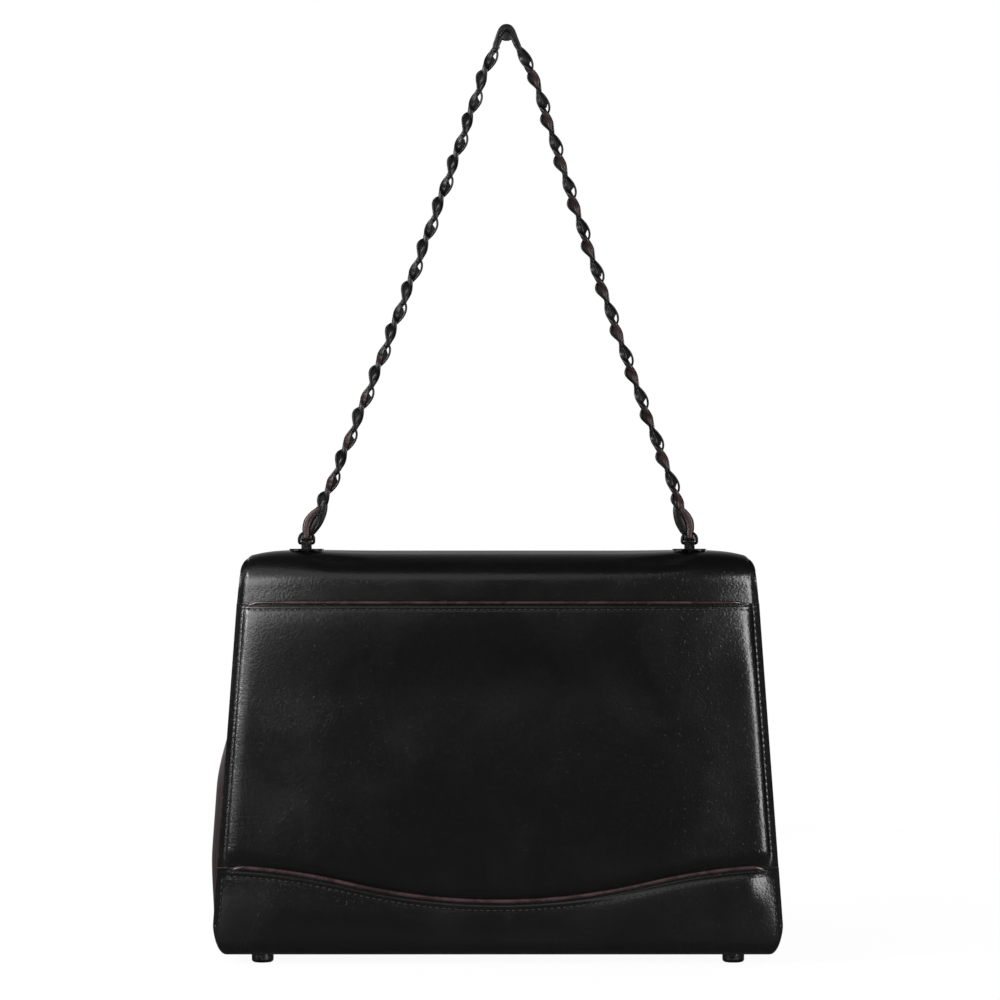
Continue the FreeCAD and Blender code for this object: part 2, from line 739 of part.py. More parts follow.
def make_flap_top():
    low = f"({TOP} - flap_leather)"
    near = f"({HINGE_Y} + soft_gap)"
    body = new_body("flap_top_panel")
    pad_loop(body, "YZ_Plane", "section", rectangle(near, low, FOLD_Y, TOP), BODY_LENGTH)
    sketch = new_sketch(body, "YZ_Plane", "rolled_edge")
    add_circle(sketch, FOLD_Y, FOLD_Z, FLAP_THICKNESS)
    pad(body, sketch, BODY_LENGTH)
    keep_inside(body, "XZ_Plane", "outline", body_outline())
    lining = new_body("flap_top_lining")
    far = f"({FOLD_Y} - {FLAP_THICKNESS} - seat_gap)"
    pad_loop(lining, "YZ_Plane", "section", rectangle(near, FOLD_Z, far, f"({low} - seat_gap)"), BODY_LENGTH)
    keep_inside(lining, "XZ_Plane", "outline", body_outline())


def flap_outline(inset):
    """The hanging flap in its own frame, whose origin is on the fold."""
    low = f"({inset} - flap_drop)"
    half_low = f"({half_width(f'({FOLD_Z} + {low})')} - {inset})"
    half_high = f"({half_width(TOP)} - {inset})"
    return upright(half_low, low, half_high, FLAP_THICKNESS,
                   f"(flap_corner_radius - {inset})", f"(top_corner_radius - {inset})")


def flap_sheet(name, outline, low, thickness):
    """Flat layer of the hanging flap, cut level just under the fold."""
    body = new_body(name)
    pad_loop(body, "XZ_Plane", "outline", outline, thickness, f"({low} + {thickness} / 2)")
    fold_cut = f"(-{FLAP_THICKNESS} - soft_gap)"
    above = rectangle("-base_width", fold_cut, "base_width", f"({FLAP_THICKNESS} + cut_overrun)")
    cut_loop(body, "XZ_Plane", "fold_cut", above)
    body.setExpression("Placement", bound(FOLD_FRAME))
    return body


def slot_outline(margin):
    """Slot that lets the toggle through, in the flap's frame."""
    half_length = f"(toggle_length / 2 + slot_clearance + {margin})"
    half_height = f"(toggle_height / 2 + slot_clearance + {margin})"
    rounding = f"(toggle_rounding + {margin})"
    return rectangle(f"-{half_length}", f"(-lock_drop - {half_height})",
                     half_length, f"(-lock_drop + {half_height})", rounding)


def eyelet_rivet_places():
    return [(f"({side} * eyelet_rivet_spread / 2)", "(-lock_drop)") for side in (-1, 1)]


def make_flap_front():
    inset = "(piping_width + seat_gap)"
    holes = "(lock_rivet_radius + hole_clearance)"
    layers = (
        ("flap_front_panel", "(flap_lining + seat_gap)", "(flap_leather - seat_gap)"),
        ("flap_front_lining", "0", "flap_lining"),
    )
    for name, low, thickness in layers:
        body = flap_sheet(name, flap_outline(inset), low, thickness)
        cut_loop(body, "XZ_Plane", "slot", slot_outline("hole_clearance"))
        cut_circles(body, "XZ_Plane", "rivet_holes", eyelet_rivet_places(), holes)
    piping = flap_sheet("flap_edge_piping", flap_outline("0"), "0", FLAP_THICKNESS)
    hollow = flap_outline("piping_width")
    above = f"({FLAP_THICKNESS} + 2 * cut_overrun)"
    half_high = f"({half_width(TOP)} - piping_width)"
    hollow[2:] = [Corner(half_high, above), Corner(f"-{half_high}", above)]
    cut_loop(piping, "XZ_Plane", "hollow", hollow)


def plate_in_fold(name, length, height, rounding, low, thickness):
    """Rounded plate at the lock, in the flap's frame."""
    body = new_body(name)
    outline = rectangle(f"(-{length} / 2)", f"(-lock_drop - {height} / 2)",
                        f"({length} / 2)", f"(-lock_drop + {height} / 2)", rounding)
    pad_loop(body, "XZ_Plane", "outline", outline, thickness, f"({low} + {thickness} / 2)")
    body.setExpression("Placement", bound(FOLD_FRAME))
    return body


def in_fold(across, outward, up):
    """Frame at a place on the flap, with its own Z pointing out of the flap."""
    place = f"placement(vector({across}; {outward}; {up}); rotation(vector(1; 0; 0); -90))"
    return f"{FOLD_FRAME} * {place}"


def make_eyelet():
    holes = "(lock_rivet_radius + seat_gap)"
    face = f"({FLAP_THICKNESS} + seat_gap)"
    back = "(-eyelet_back_thickness - seat_gap)"
    for name, low, thickness in (
        ("lock_eyelet_plate", face, "eyelet_thickness"),
        ("lock_eyelet_back", back, "eyelet_back_thickness"),
    ):
        body = plate_in_fold(name, "eyelet_length", "eyelet_height", "eyelet_rounding", low, thickness)
        cut_loop(body, "XZ_Plane", "slot", slot_outline("0"))
        cut_circles(body, "XZ_Plane", "rivet_holes", eyelet_rivet_places(), holes)
    length = f"({face} + eyelet_thickness - {back})"
    rivets = []
    for number, (across, up) in enumerate(eyelet_rivet_places(), start=1):
        rivets.append(rod(f"eyelet_rivet_{number}", "lock_rivet_radius", length, in_fold(across, back, up)))
    group("eyelet_rivets", rivets)


# Turn lock on the front panel

def lock_rivet_places():
    """Places of the rivets in the front panel, seen from the front."""
    depth = "(flap_gap + (panel_thickness + lining_thickness) / 2)"
    level = f"({FOLD_Z} - lock_drop * cos(atan({LEAN})) - {depth} * sin(atan({LEAN})))"
    return [(f"({side} * lock_rivet_spread / 2)", level) for side in (-1, 1)]


def make_lock():
    seat = "(seat_gap - flap_gap)"
    plate = plate_in_fold("lock_base_plate", "lock_plate_length", "lock_plate_height",
                          "lock_plate_rounding", seat, "lock_plate_thickness")
    toggle_low = f"({FLAP_THICKNESS} + eyelet_thickness + toggle_lift)"
    post_top = f"({toggle_low} - seat_gap)"
    post = f"({post_top} - {seat})"
    sketch = new_sketch(plate, "XZ_Plane", "post", f"({seat} + {post} / 2)")
    add_circle(sketch, "0", "(-lock_drop)", "lock_post_radius")
    pad(plate, sketch, post)
    places = [(f"({side} * lock_rivet_spread / 2)", "(-lock_drop)") for side in (-1, 1)]
    cut_circles(plate, "XZ_Plane", "rivet_holes", places, "(lock_rivet_radius + seat_gap)")
    cut_circles(plate, "XZ_Plane", "screw_hole", [("0", "(-lock_drop)")], "(toggle_screw_radius + seat_gap)")

    back = "(-flap_gap - panel_thickness - lining_thickness - lock_washer_thickness - seat_gap)"
    inner = plate_in_fold("lock_washer", "lock_plate_length", "lock_plate_height",
                          "lock_plate_rounding", back, "lock_washer_thickness")
    cut_circles(inner, "XZ_Plane", "rivet_holes", places, "(lock_rivet_radius + seat_gap)")
    length = f"({seat} + lock_plate_thickness - {back})"
    rivets = []
    for number, (across, up) in enumerate(places, start=1):
        rivets.append(rod(f"lock_rivet_{number}", "lock_rivet_radius", length, in_fold(across, back, up)))
    group("lock_rivets", rivets)

    toggle = plate_in_fold("turn_toggle", "toggle_length", "toggle_height", "toggle_rounding",
                           toggle_low, "toggle_thickness")
    centre = [("0", "(-lock_drop)")]
    cut_circles(toggle, "XZ_Plane", "bore", centre, "(toggle_screw_radius + pin_clearance)")
    sketch = new_sketch(toggle, "XZ_Plane", "recess", f"({toggle_low} + toggle_thickness)")
    add_circle(sketch, *centre[0], "(toggle_head_radius + hole_clearance)")
    doc.recompute()
    recess = toggle.newObject("PartDesign::Pocket", "toggle_recess_cut")
    recess.Profile = sketch
    recess.Reversed = True
    recess.setExpression("Length", bound("(toggle_head_height + soft_gap)"))
    doc.recompute()

    screw_low = f"({post_top} - toggle_bite)"
    shank = f"({toggle_low} + toggle_thickness - toggle_head_height - {screw_low})"
    frame = in_fold("0", screw_low, "(-lock_drop)")
    node("toggle_screw", headed("toggle_screw", "toggle_screw_radius", shank,
                                "toggle_head_radius", "toggle_head_height", frame))


# Chain strap

UP = FreeCAD.Vector(0, 0, 1)
ACROSS = FreeCAD.Vector(1, 0, 0)
OUTWARD = FreeCAD.Vector(0, 1, 0)


def rounded_path(points, bends, closed=False):
    """Straight runs through the points, joined by tangent arcs of the given radii."""
    count = len(points)
    corners = range(count) if closed else range(1, count - 1)
    entries = dict.fromkeys(range(count))
    arcs = {}
    for i in corners:
        into = (points[i] - points[i - 1]).normalize()
        out = (points[(i + 1) % count] - points[i]).normalize()
        half_turn = into.getAngle(out) / 2
        setback = bends[i] * math.tan(half_turn)
        inward = (out - into).normalize()
        crown = points[i] + inward * (bends[i] / math.cos(half_turn) - bends[i])
        entries[i] = (points[i] - into * setback, points[i] + out * setback)
        arcs[i] = Part.Arc(entries[i][0], crown, entries[i][1]).toShape()
    edges = []
    for i in range(count if closed else count - 1):
        after = (i + 1) % count
        start = entries[i][1] if entries[i] else points[i]
        end = entries[after][0] if entries[after] else points[after]
        edges.append(Part.LineSegment(start, end).toShape())
        if after in arcs:
            edges.append(arcs[after])
    return Part.Wire(edges)


def tube(path, radius):
    """Round section swept along a path that starts with a straight run."""
    first = path.OrderedEdges[0]
    start = first.valueAt(first.FirstParameter)
    heading = first.tangentAt(first.FirstParameter)
    section = Part.Wire([Part.makeCircle(radius, start, heading)])
    solid = path.makePipeShell([section], True, False)
    expected = math.pi * radius ** 2 * path.Length
    if abs(solid.Volume - expected) > expected * SWEEP_TOLERANCE_SHARE:
        raise RuntimeError(f"sweep holds {solid.Volume:.1f} instead of {expected:.1f}")
    return solid


def oval_link(length, width, wire):
    """Link along X in the XY plane, its length and width taken between the wire's middles."""
    straight = (length - width) / 2
    half = width / 2
    corners = [(-straight, -half), (straight, -half), (straight, half), (-straight, half)]
    points = [FreeCAD.Vector(*corner, 0) for corner in corners]
    ends = [FreeCAD.Vector(side * length / 2, 0, 0) for side in (1, -1)]
    edges = [
        Part.LineSegment(points[0], points[1]).toShape(),
        Part.Arc(points[1], ends[0], points[2]).toShape(),
        Part.LineSegment(points[2], points[3]).toShape(),
        Part.Arc(points[3], ends[1], points[0]).toShape(),
    ]
    return tube(Part.Wire(edges), wire / 2)


def placed_link(link, centre, heading, roll):
    """The link along a heading in the strap's plane, rolled about that heading."""
    side = heading.cross(OUTWARD)
    width = side * math.cos(roll) + OUTWARD * math.sin(roll)
    turn = FreeCAD.Rotation(heading, width, heading.cross(width), "XYZ")
    copy = link.copy()
    copy.Placement = FreeCAD.Placement(centre, turn)
    return copy


class Strand:
    """One side of the strap: a straight row of links from an end ring to the link at the apex."""

    def __init__(self, side):
        self.side = side
        self.count = int(value("links_count"))
        self.wire = value("link_wire")
        self.hold = self.wire + value("link_play")
        strap_y = value(STRAP_Y)
        self.eye_x = side * value(ANCHOR_X)
        low = value(f"{PIN_Z} + ring_reach - (ring_wire + link_wire) / 2 - link_play")
        self.start = FreeCAD.Vector(self.eye_x, strap_y, low)
        apex = FreeCAD.Vector(value("apex_offset"), strap_y, value(f"{PIN_Z} + strap_rise"))
        apex_half = (value("link_pitch") + self.hold) / 2
        apex_end = apex + ACROSS * (side * apex_half)
        heading = (apex_end - self.start).normalize()
        along_apex = (heading - ACROSS * side).normalize()
        self.end = apex_end + along_apex * self.hold
        self.heading = (self.end - self.start).normalize()
        self.pitch = ((self.end - self.start).Length - self.hold) / self.count

    def crossing(self, number):
        """Middle of the place where a link hangs in the one above it."""
        return self.start + self.heading * (self.hold / 2 + number * self.pitch)

    def links(self, first, last):
        link = oval_link(self.pitch + self.hold, value("link_width") - self.wire, self.wire)
        made = []
        for number in range(first, last + 1):
            centre = (self.crossing(number - 1) + self.crossing(number)) / 2
            roll = math.radians(value("link_roll_angle")) * (1 if number % 2 else -1) * -self.side
            made.append(placed_link(link, centre, self.heading, roll))
        return made

    def knee(self, number):
        """Place where the upper links turn on the link below a crossing."""
        return self.crossing(number) + self.heading * (self.hold / 2)

    def lace_point(self, number):
        """The lace passes in front of even crossings and behind odd ones."""
        roll = math.radians(value("link_roll_angle"))
        reach = value("link_wire / 2 + lace_radius + lace_clearance") / math.sin(roll)
        lean = math.atan2(2 * reach, self.pitch)
        rounding = value("lace_bend") * (1 / math.cos(lean) - 1)
        lift = value("lace_apex_lift") if number == self.count else 0
        return self.crossing(number) + OUTWARD * ((reach + rounding + lift) * (1 if number % 2 == 0 else -1))

    def lace_between(self, number, share):
        """Point on the run of lace that leaves a crossing upwards."""
        low = self.lace_point(number)
        return low + (self.lace_point(number + 1) - low) * share

    def lace_points(self, first, start_share, last, end_share):
        """Route from the run above one crossing to the run below another."""
        start = self.lace_between(first, start_share)
        end = self.lace_between(last - 1, end_share)
        return [start] + [self.lace_point(number) for number in range(first + 1, last)] + [end]


def lace_tube(points):
    path = rounded_path(points, [value("lace_bend")] * len(points))
    return tube(path, value("lace_radius"))


def make_end_ring(strand):
    half = value("post_width / 2 + ring_side_gap + ring_wire / 2")
    low = FreeCAD.Vector(strand.eye_x, value(STRAP_Y), value(PIN_Z))
    high = low + UP * value("ring_reach")
    points = [low - ACROSS * half, low + ACROSS * half, high + ACROSS * half, high - ACROSS * half]
    small = value("ring_corner")
    large = value("ring_reach - 2 * ring_corner")
    middle = (points[0] + points[1]) / 2
    path = rounded_path(points, [small, small, large, large], closed=True)
    start = next(i for i, edge in enumerate(path.OrderedEdges) if (edge.CenterOfMass - middle).Length < small)
    edges = path.OrderedEdges[start:] + path.OrderedEdges[:start]
    return tube(Part.Wire(edges), value("ring_wire / 2"))


def add_solids(name, solids):
    feature = doc.addObject("Part::Feature", name)
    feature.Shape = solids[0] if len(solids) == 1 else Part.makeCompound(solids)
    feature.Placement = FreeCAD.Placement()
    return node(name, feature)


def make_strap():
    strands = [Strand(-1), Strand(1)]
    count = int(value("links_count"))
    low_knee = int(value("low_knee_count"))
    high_knee = int(value("high_knee_count"))
    add_solids("strap_end_rings", [make_end_ring(strand) for strand in strands])
    stretches = (("lower", 0, low_knee), ("middle", low_knee, high_knee))
    for name, first, last in stretches:
        links = []
        laces = []
        for strand in strands:
            links += strand.links(first + 1, last)
            start_share = LACE_CUT_SHARE if first else LACE_START_SHARE
            laces.append(lace_tube(strand.lace_points(first, start_share, last, 1 - LACE_CUT_SHARE)))
        add_solids(f"chain_links_{name}", links)
        add_solids(f"chain_lace_{name}", laces)

    wire = value("link_wire")
    apex = FreeCAD.Vector(value("apex_offset"), value(STRAP_Y), value(f"{PIN_Z} + strap_rise"))
    length = value("link_pitch + link_wire + link_play")
    apex_link = oval_link(length, value("link_width") - wire, wire)
    links = [placed_link(apex_link, apex, ACROSS, math.radians(value("link_roll_angle")))]
    for strand in strands:
        links += strand.links(high_knee + 1, count)
    add_solids("chain_links_upper", links)
    halves = []
    for strand in strands:
        climb = strand.lace_points(high_knee, LACE_CUT_SHARE, count, 1 - LACE_CUT_SHARE)
        halves.append(climb[:-1] + [strand.lace_point(count)])
    add_solids("chain_lace_upper", [lace_tube(halves[0] + halves[1][::-1])])

    for title, place in (("low knee", low_knee), ("high knee", high_knee)):
        print(title, [tuple(round(c, 3) for c in strand.knee(place)) for strand in strands])
    print("link pitch", [round(strand.pitch, 3) for strand in strands])


make_back_panel()
make_back_pocket()
make_front_panel()
make_base_band()
make_gusset(-1, "left_gusset")
make_gusset(1, "right_gusset")
make_linings()
make_stiffeners()
make_inner_pocket()
make_feet()
make_anchor(-1, "strap_anchor_left")
make_anchor(1, "strap_anchor_right")
make_anchor_fasteners()
make_flap_top()
make_flap_front()
make_eyelet()
make_lock()
make_strap()
doc.recompute()

print("hinge", round(value(HINGE_Y), 4), round(value(TOP), 4))
print("fold", round(value(FOLD_Y), 4), round(value(FOLD_Z), 4), "lean", round(value(LEAN), 6))
print("pin", round(value(STRAP_Y), 4), round(value(PIN_Z), 4))

faults = [item.Label for item in doc.Objects if {"Invalid", "Error"} & set(item.State)]
faults += [name for name, item in nodes.items() if item.Shape.isNull() or not item.Shape.isValid()]
if faults:
    raise RuntimeError(f"not built: {faults}")
os.makedirs("parts", exist_ok=True)
for name, item in nodes.items():
    item.Shape.exportStep(os.path.join("parts", f"{name}.step"))
print(len(nodes), "nodes")
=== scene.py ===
"""Looks of the chain shoulder bag: leather shells, edges, stitches, woven chain, finishes and the studio.

Lengths are in millimetres until a mesh is made, and the frame's metres after that.
"""

import json
import math

import bmesh
import bpy
import numpy as np
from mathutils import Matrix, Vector

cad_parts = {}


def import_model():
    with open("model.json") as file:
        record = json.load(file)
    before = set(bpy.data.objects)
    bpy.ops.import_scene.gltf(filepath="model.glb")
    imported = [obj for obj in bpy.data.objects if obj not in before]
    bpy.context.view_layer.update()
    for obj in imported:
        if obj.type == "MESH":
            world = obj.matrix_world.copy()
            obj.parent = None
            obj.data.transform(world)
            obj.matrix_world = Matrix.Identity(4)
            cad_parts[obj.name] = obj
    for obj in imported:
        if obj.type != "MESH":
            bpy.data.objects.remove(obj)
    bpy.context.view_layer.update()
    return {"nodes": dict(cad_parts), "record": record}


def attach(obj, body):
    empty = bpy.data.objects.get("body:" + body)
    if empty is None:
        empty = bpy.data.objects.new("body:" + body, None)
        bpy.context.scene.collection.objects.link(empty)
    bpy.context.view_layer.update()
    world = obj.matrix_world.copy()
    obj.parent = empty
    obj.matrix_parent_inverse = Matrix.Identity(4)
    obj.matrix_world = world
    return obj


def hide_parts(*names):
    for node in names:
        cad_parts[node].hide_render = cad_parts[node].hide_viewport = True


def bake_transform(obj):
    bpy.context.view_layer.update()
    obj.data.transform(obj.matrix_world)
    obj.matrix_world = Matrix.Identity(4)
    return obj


MM = 0.001

# Bag body, as in the frame
MID_Y = -1.9633
HALF_DEPTH = 39.0
LEAN = 0.037879
FLOOR_GAP = 4.5
TOP = 202.5
BASE_HALF = 140.7
TOP_HALF = 126.7
POCKET_EDGE = 177.0
MOUTH_EDGE = 165.0
BAND_MIDDLE = 30.7
BAND_RISE = 17.2
BAND_WAVE = 73.5
BAND_INSET = 0.0
POCKET_INSET = 1.8
BACK_INSET = 4.0
FRONT_INSET = 1.8

# Thickness of the leather sheets
BACK_LEATHER = 1.6
POCKET_LEATHER = 1.5
BAND_LEATHER = 1.5
FRONT_LEATHER = 1.8
GUSSET_LEATHER = 1.4
LINING_LEATHER = 0.7
TOP_LINING_LEATHER = 0.6

# Rounded outline of the walls
BASE_ROUNDING = 15.0
CORNER_TOP = FLOOR_GAP + BASE_ROUNDING
CORNER_WIDTH = 6.2
BAND_FOLD_RADIUS = 6.0
BACK_LOW = 160.0
PANEL_TUCK = 6.0
GRID_LEVEL = 20.0
TOP_ROLL_LENGTH = 34.0
TOP_ROLL_DROP = 6.5
TOP_ROLL_START = TOP - TOP_ROLL_DROP
TOP_ROLL_POWER = 2.6
TOP_NARROW = 5.2
TOP_NARROW_RANGE = -27.0, -17.0
TOP_DIP_BACK = 1.2
TOP_DIP_FRONT = 0.4
TOP_DIP_ACROSS = 102.0, 58.0
TOP_DIP_ALONG = -15.0, -5.0
TOP_DIP_UP = POCKET_EDGE + 1.0, POCKET_EDGE + 13.0
SHOULDER_START = 184.0
SHOULDER_END_Y = -16.0
SHOULDER_POWER = 2.2

# Crease of the top leather beside the strap anchors
CREASE_ANCHOR_X = 94.5
CREASE_DROP = 3.5
CREASE_SWEEP = 6.0
CREASE_DEPTH = 1.0
CREASE_WIDTHS = 0.8, 4.5
CREASE_START = -5.0, 2.0
CREASE_FADE = 34.0, 12.0
CREASE_BEHIND = -12.0, -15.0

# Flap
FOLD_Y = 29.8352
FOLD_Z = 199.9
FLAP_THICK = 2.6
FLAP_LEATHER = 1.7
FLAP_DROP = 113.6
FLAP_CORNER = 30.0
FLAP_SIDE_GAP = 1.2
FLAP_DRAWN_REACH = 20.0
FLAP_JOIN_Y = 15.0
FLAP_ROW = 3.6
FLAP_ROW_UP = 0.15
FLAP_GRID_REACH = 50.0
FLAP_LINING_DEPTH = 0.75
FLAP_LINING_INSET = 1.2
FLAP_LINING_SHORT = 1.0
FLAP_EDGE_OVER = 0.2
FLAP_EDGE_SIZE = 1.1, 1.5
FLAP_EDGE_START = 5.0
HINGE_SPREAD = 7.0
LOCK_DROP = 95.0
LOCK_FLAT = 26.0, 15.0
LOCK_FLAT_SQUEEZE = 1.3
SLOT_HALF = (9.4, 4.6)
SLOT_ROUNDING = 2.8
SLOT_CUT = -6.0, 9.0

# Seams
STITCH_PITCH = 3.1
STITCH_LENGTH = 2.3
STITCH_RADIUS = 0.3
STITCH_ARCH = 0.3
STITCH_BEND = 2.4
STITCH_TAPER = 0.35, 0.8, 1.0, 1.0, 1.0, 0.8, 0.35
SEAM_INSET = 2.9
SEAM_LIP = 3.2
POCKET_ROW = 3.1
BAND_ROW = 4.2
POCKET_ROW_END = 4.4
BAND_ROW_END = 4.6
BAND_ROW_LEVEL = 44.0
SIDE_ROW_START = 54.0
POCKET_SIDE_ROW_END = POCKET_EDGE - 1.5
FRONT_SIDE_ROW_END = MOUTH_EDGE - 2.0
BAND_SIDE_ROW = 20.0, 42.5
SHOULDER_ROWS = (POCKET_EDGE + 2.2, 188.0, (0, -1, 0.1)), (188.0, 193.2, (0, -0.8, 0.6))
BACK_OUT = 0.0, -1.0, 0.04
FRONT_OUT = 0.0, 1.0, 0.04

# Piped edges; shifts are outwards and up, dives are their reach and how far the ends go in and down
EDGE_END = 4.6
POCKET_PIPING = 0.72
POCKET_PIPING_SHIFT = 0.5, 0.35
POCKET_PIPING_DIVE = 7.0, 1.2, 1.6
BAND_PIPING = 1.0
BAND_PIPING_LEVEL = 48.0
BAND_PIPING_SHIFT = -0.35, 0.3
BAND_PIPING_DIVE = 8.0, 1.0, 2.0
MOUTH_BINDING_SIZE = 1.5, 2.2
MOUTH_BINDING_SHORT = 0.5
MOUTH_BINDING_SHIFT = -1.2, 0.9

# Swell of the leather, with ranges of distance or height over which it comes in
SEAM_GROOVE = ((SEAM_INSET, 0.35, 0.6),)
POCKET_CREASES = (1.3, 0.4, 0.4), (POCKET_ROW, 0.22, 0.8)
BAND_CREASES = (1.6, 0.4, 0.5), (BAND_ROW, 0.25, 1.1)
FLAP_CREASES = ((FLAP_ROW, 0.3, 0.7),)
POCKET_CREASE_ENDS = 1.5, 4.0
BAND_CREASE_ENDS = 2.0, 5.0
SEAM_RISE = 2.8
SEAM_SPREAD = 4.2
PANEL_FILL = 0.5
PANEL_FILL_RANGE = 5.0, 60.0
BROAD_WAVE = 0.34
FINE_WAVE = 0.07
WAVE_CALM = 6.0, 40.0
WAVE_CALM_LOW = 4.0, 30.0
BOW_SPREAD = 25.0
POCKET_BOW = 4.0
POCKET_BOW_RANGE = 128.0, 176.0
POCKET_CROWN = 1.1
POCKET_CROWN_MIDDLE = 100.0
POCKET_CROWN_REACH = 84.0
POCKET_CROWN_RANGE = 3.0, 55.0
POCKET_SEAM_RISE = 2.3
POCKET_SEAM_SPREAD = 1.8
POCKET_SEAM_EASE = 0.5
POCKET_EASE_RANGE = 110.0, 140.0
POCKET_DRAW_REACH = 4.2
POCKET_DRAW_RANGE = 2.0, 8.0
POCKET_TUCKED = 0.08
POCKET_TUCK_RANGE = 0.3, 8.0
BACK_BOW = 5.0
BACK_BOW_START = 150.0, 180.0
BACK_BOW_END = 188.0, 202.0
BAND_SEAM = 0.25
BAND_SEAM_BELOW = 0.5, 18.0
BAND_SEAM_ABOVE = FLOOR_GAP + 3.0, FLOOR_GAP + 24.0
BAND_SWELL = 1.5
BAND_SWELL_SPREAD = 30.0
BAND_SWELL_BELOW = 1.0, 34.0
BAND_SWELL_ABOVE = 4.0, 22.0
RIGHT_END_SWELL = 2.2
RIGHT_END_SIDE = 3.5, 17.0
RIGHT_END_BELOW = 0.8, 5.0
RIGHT_END_LOW = 6.0, 25.0
RIGHT_END_ACROSS = 20.0, 90.0
FRONT_TUCKED = 0.3
FRONT_TUCK_RANGE = 0.0, 15.0
FRONT_FULL = 0.75
FRONT_PRESSED = 0.65
FRONT_COVERED = 30.0, 88.0
FLAP_LIP = 0.35
FLAP_LIP_RANGE = 0.0, 2.5
FLAP_SWELL = 0.75
FLAP_SWELL_RANGE = 4.0, 22.0
FLAP_SWELL_START = 0.0, 14.0
FLAP_SETTLE = 0.0, 16.0

# Side walls
GUSSET_LEVELS = 11.0, 30.0, 110.0, 189.0
GUSSET_INSETS = 5.9, 4.4
GUSSET_SIDE = 3.4
GUSSET_LIP = 3.0
GUSSET_LIP_RANGE = 0.0, 3.2
LEFT_BULGE = 8.1
RIGHT_BULGE = 4.4
BULGE_LOW_SHARE = 0.5
BULGE_FILL = 10.0, 56.0
BULGE_START = 6.0, 20.0
BULGE_END = 85.0, 140.0
BULGE_POWERS = 0.65, 0.8
DRAWN_IN = 3.0
DRAWN_IN_RANGE = 120.0, 190.0
GUSSET_FREE_UP = MOUTH_EDGE + 1.0, MOUTH_EDGE + 9.0
GUSSET_FREE_ALONG = 0.4, 0.6

# Lining; insets are from the back, the front and the sides
LINING_FLOOR = 10.3
LINING_ROUNDING = 9.0
LINING_INSETS = 7.4, 5.2, 7.2
FLOOR_INSETS = 8.5, 6.5, 16.5
FLOOR_SHARES = 0.02, 0.3, 0.6, 0.85, 0.96, 1.0
CURVE_INSETS = 7.5, 5.3
CURVE_RISE = 14.0
CURVE_IN = 9.0
CURVE_SHARES = 0.25, 0.55, 1.0
LINING_LOW = 28.0
LINING_MOUTH = 160.0
LINING_LIMITS = 170.0, 200.0
LINING_LIFT = 4.5
LINING_BACK_LIFT = 19.0
LINING_LIFT_RANGE = 25.0, 14.0
LINING_DRAWN = 30.0, 8.0
TOP_LINING_LINE = (
    (-26.9, 172.0), (-26.6, 180.0), (-25.9, 187.0), (-23.2, 192.2), (-18.5, 194.4), (-12.0, 195.0),
    (-7.0, 195.6), (-3.5, 197.6), (0.0, 199.2), (4.0, 199.6), (9.5, 199.7), (FLAP_JOIN_Y, 199.75),
)
TOP_LINING_LEVEL = 190.0
TOP_LINING_INSET = 7.0
TOP_LINING_FALL = 0.9
TOP_LINING_FALL_RANGE = 180.0, 198.0
SLIP_HALF = 80.0
SLIP_LOW = 38.5
SLIP_HEIGHT = 92.0
SLIP_INSET = 8.9
SLIP_SWELL = 1.6
SLIP_SWELL_RANGE = 0.0, 14.0
SLIP_MOUTH = 0.5
SLIP_MOUTH_RANGE = 0.9, 1.0

# Strap
STRAP_Y = -13.963
STRAND_START_Z = 209.65
STRAND_START_X = 95.0
APEX = (4.2, 461.5)
APEX_HALF = 6.375
APEX_DRAW = 3.0
APEX_DRAW_RANGE = 0.9, 0.98
STRAP_SWAY = 1.4
SWAY_START = 0.0, 0.09
SWAY_END = 0.88, 1.0
STRAP_BOW = 3.0
KNEE_SPREAD = 3.5
LINKS_PER_STRAND = 24
LOW_LINKS = 2
MIDDLE_LINKS = 4
LINK_HOLD = 1.75
LINK_WIRE = 0.57
LINK_INNER = 1.2
LINK_TILT = 0.9
LINK_TWIST = 0.5
LINK_SQUARE = 0.9
LAST_LINK_SHARE = 0.3
BELLY_REACH = 3.0
BELLY_LONG = (1.0, 0.6)
BELLY_KNOT = (2.6, 1.3)

# Lace through the links; lengths along the strap are in links
LACE_THICK = 1.3
LACE_TURN_THICK = 1.6
LACE_TURN_EASE = 0.08
LACE_EDGES = -0.75, 2.6
LACE_START = 0.3
LACE_END_SHORT = 1.3
BURGUNDY_END = 8.0
LOOP_SPANS = {(1, 1): (-0.97, 0.5), (1, -1): (-0.97, 0.97), (-1, 1): (-0.5, 0.93), (-1, -1): (-0.97, 0.97)}
LOOP_FADE = 0.3
LOOP_FULL = 0.72
LOOP_CHANGE = 0.28
LOOP_INNER = -0.9
LOOP_UNDER = 0.1
LOOP_RIM = 0.15
LOOP_THICK = 1.2
LOOP_BEHIND = 0.35

# Folded ends of the lace: places in links, sideways shifts, half widths, thickness and whether burgundy shows
TONGUE_OUTER = ((-0.66, -0.52, -0.3, 0.05, 0.4, 0.75), (0.0, 0.2, 1.6, 2.5, 1.8, 0.3),
                (1.5, 1.6, 1.9, 2.2, 1.9, 1.2), 2.0, True)
TONGUE_INNER = ((-0.66, -0.52, -0.25, 0.2, 0.7, 1.15), (0.0, -0.2, -1.2, -1.9, -1.8, -0.6),
                (1.6, 1.8, 2.5, 2.9, 2.4, 1.3), 2.2, False)
TONGUE_WRAP = ((-0.85, -0.7, -0.54, -0.42), (0.0, 0.0, 0.0, 0.2), (3.3, 3.4, 3.3, 2.0), 2.0, False)
APEX_LACE_LINKS = 22.2, 22.7, 23.1
APEX_LACE_TOP = (-2.2, 0.2), (0.0, -0.9), (2.2, 0.2)
APEX_LACE_TAPER = 14.0 / 12.0
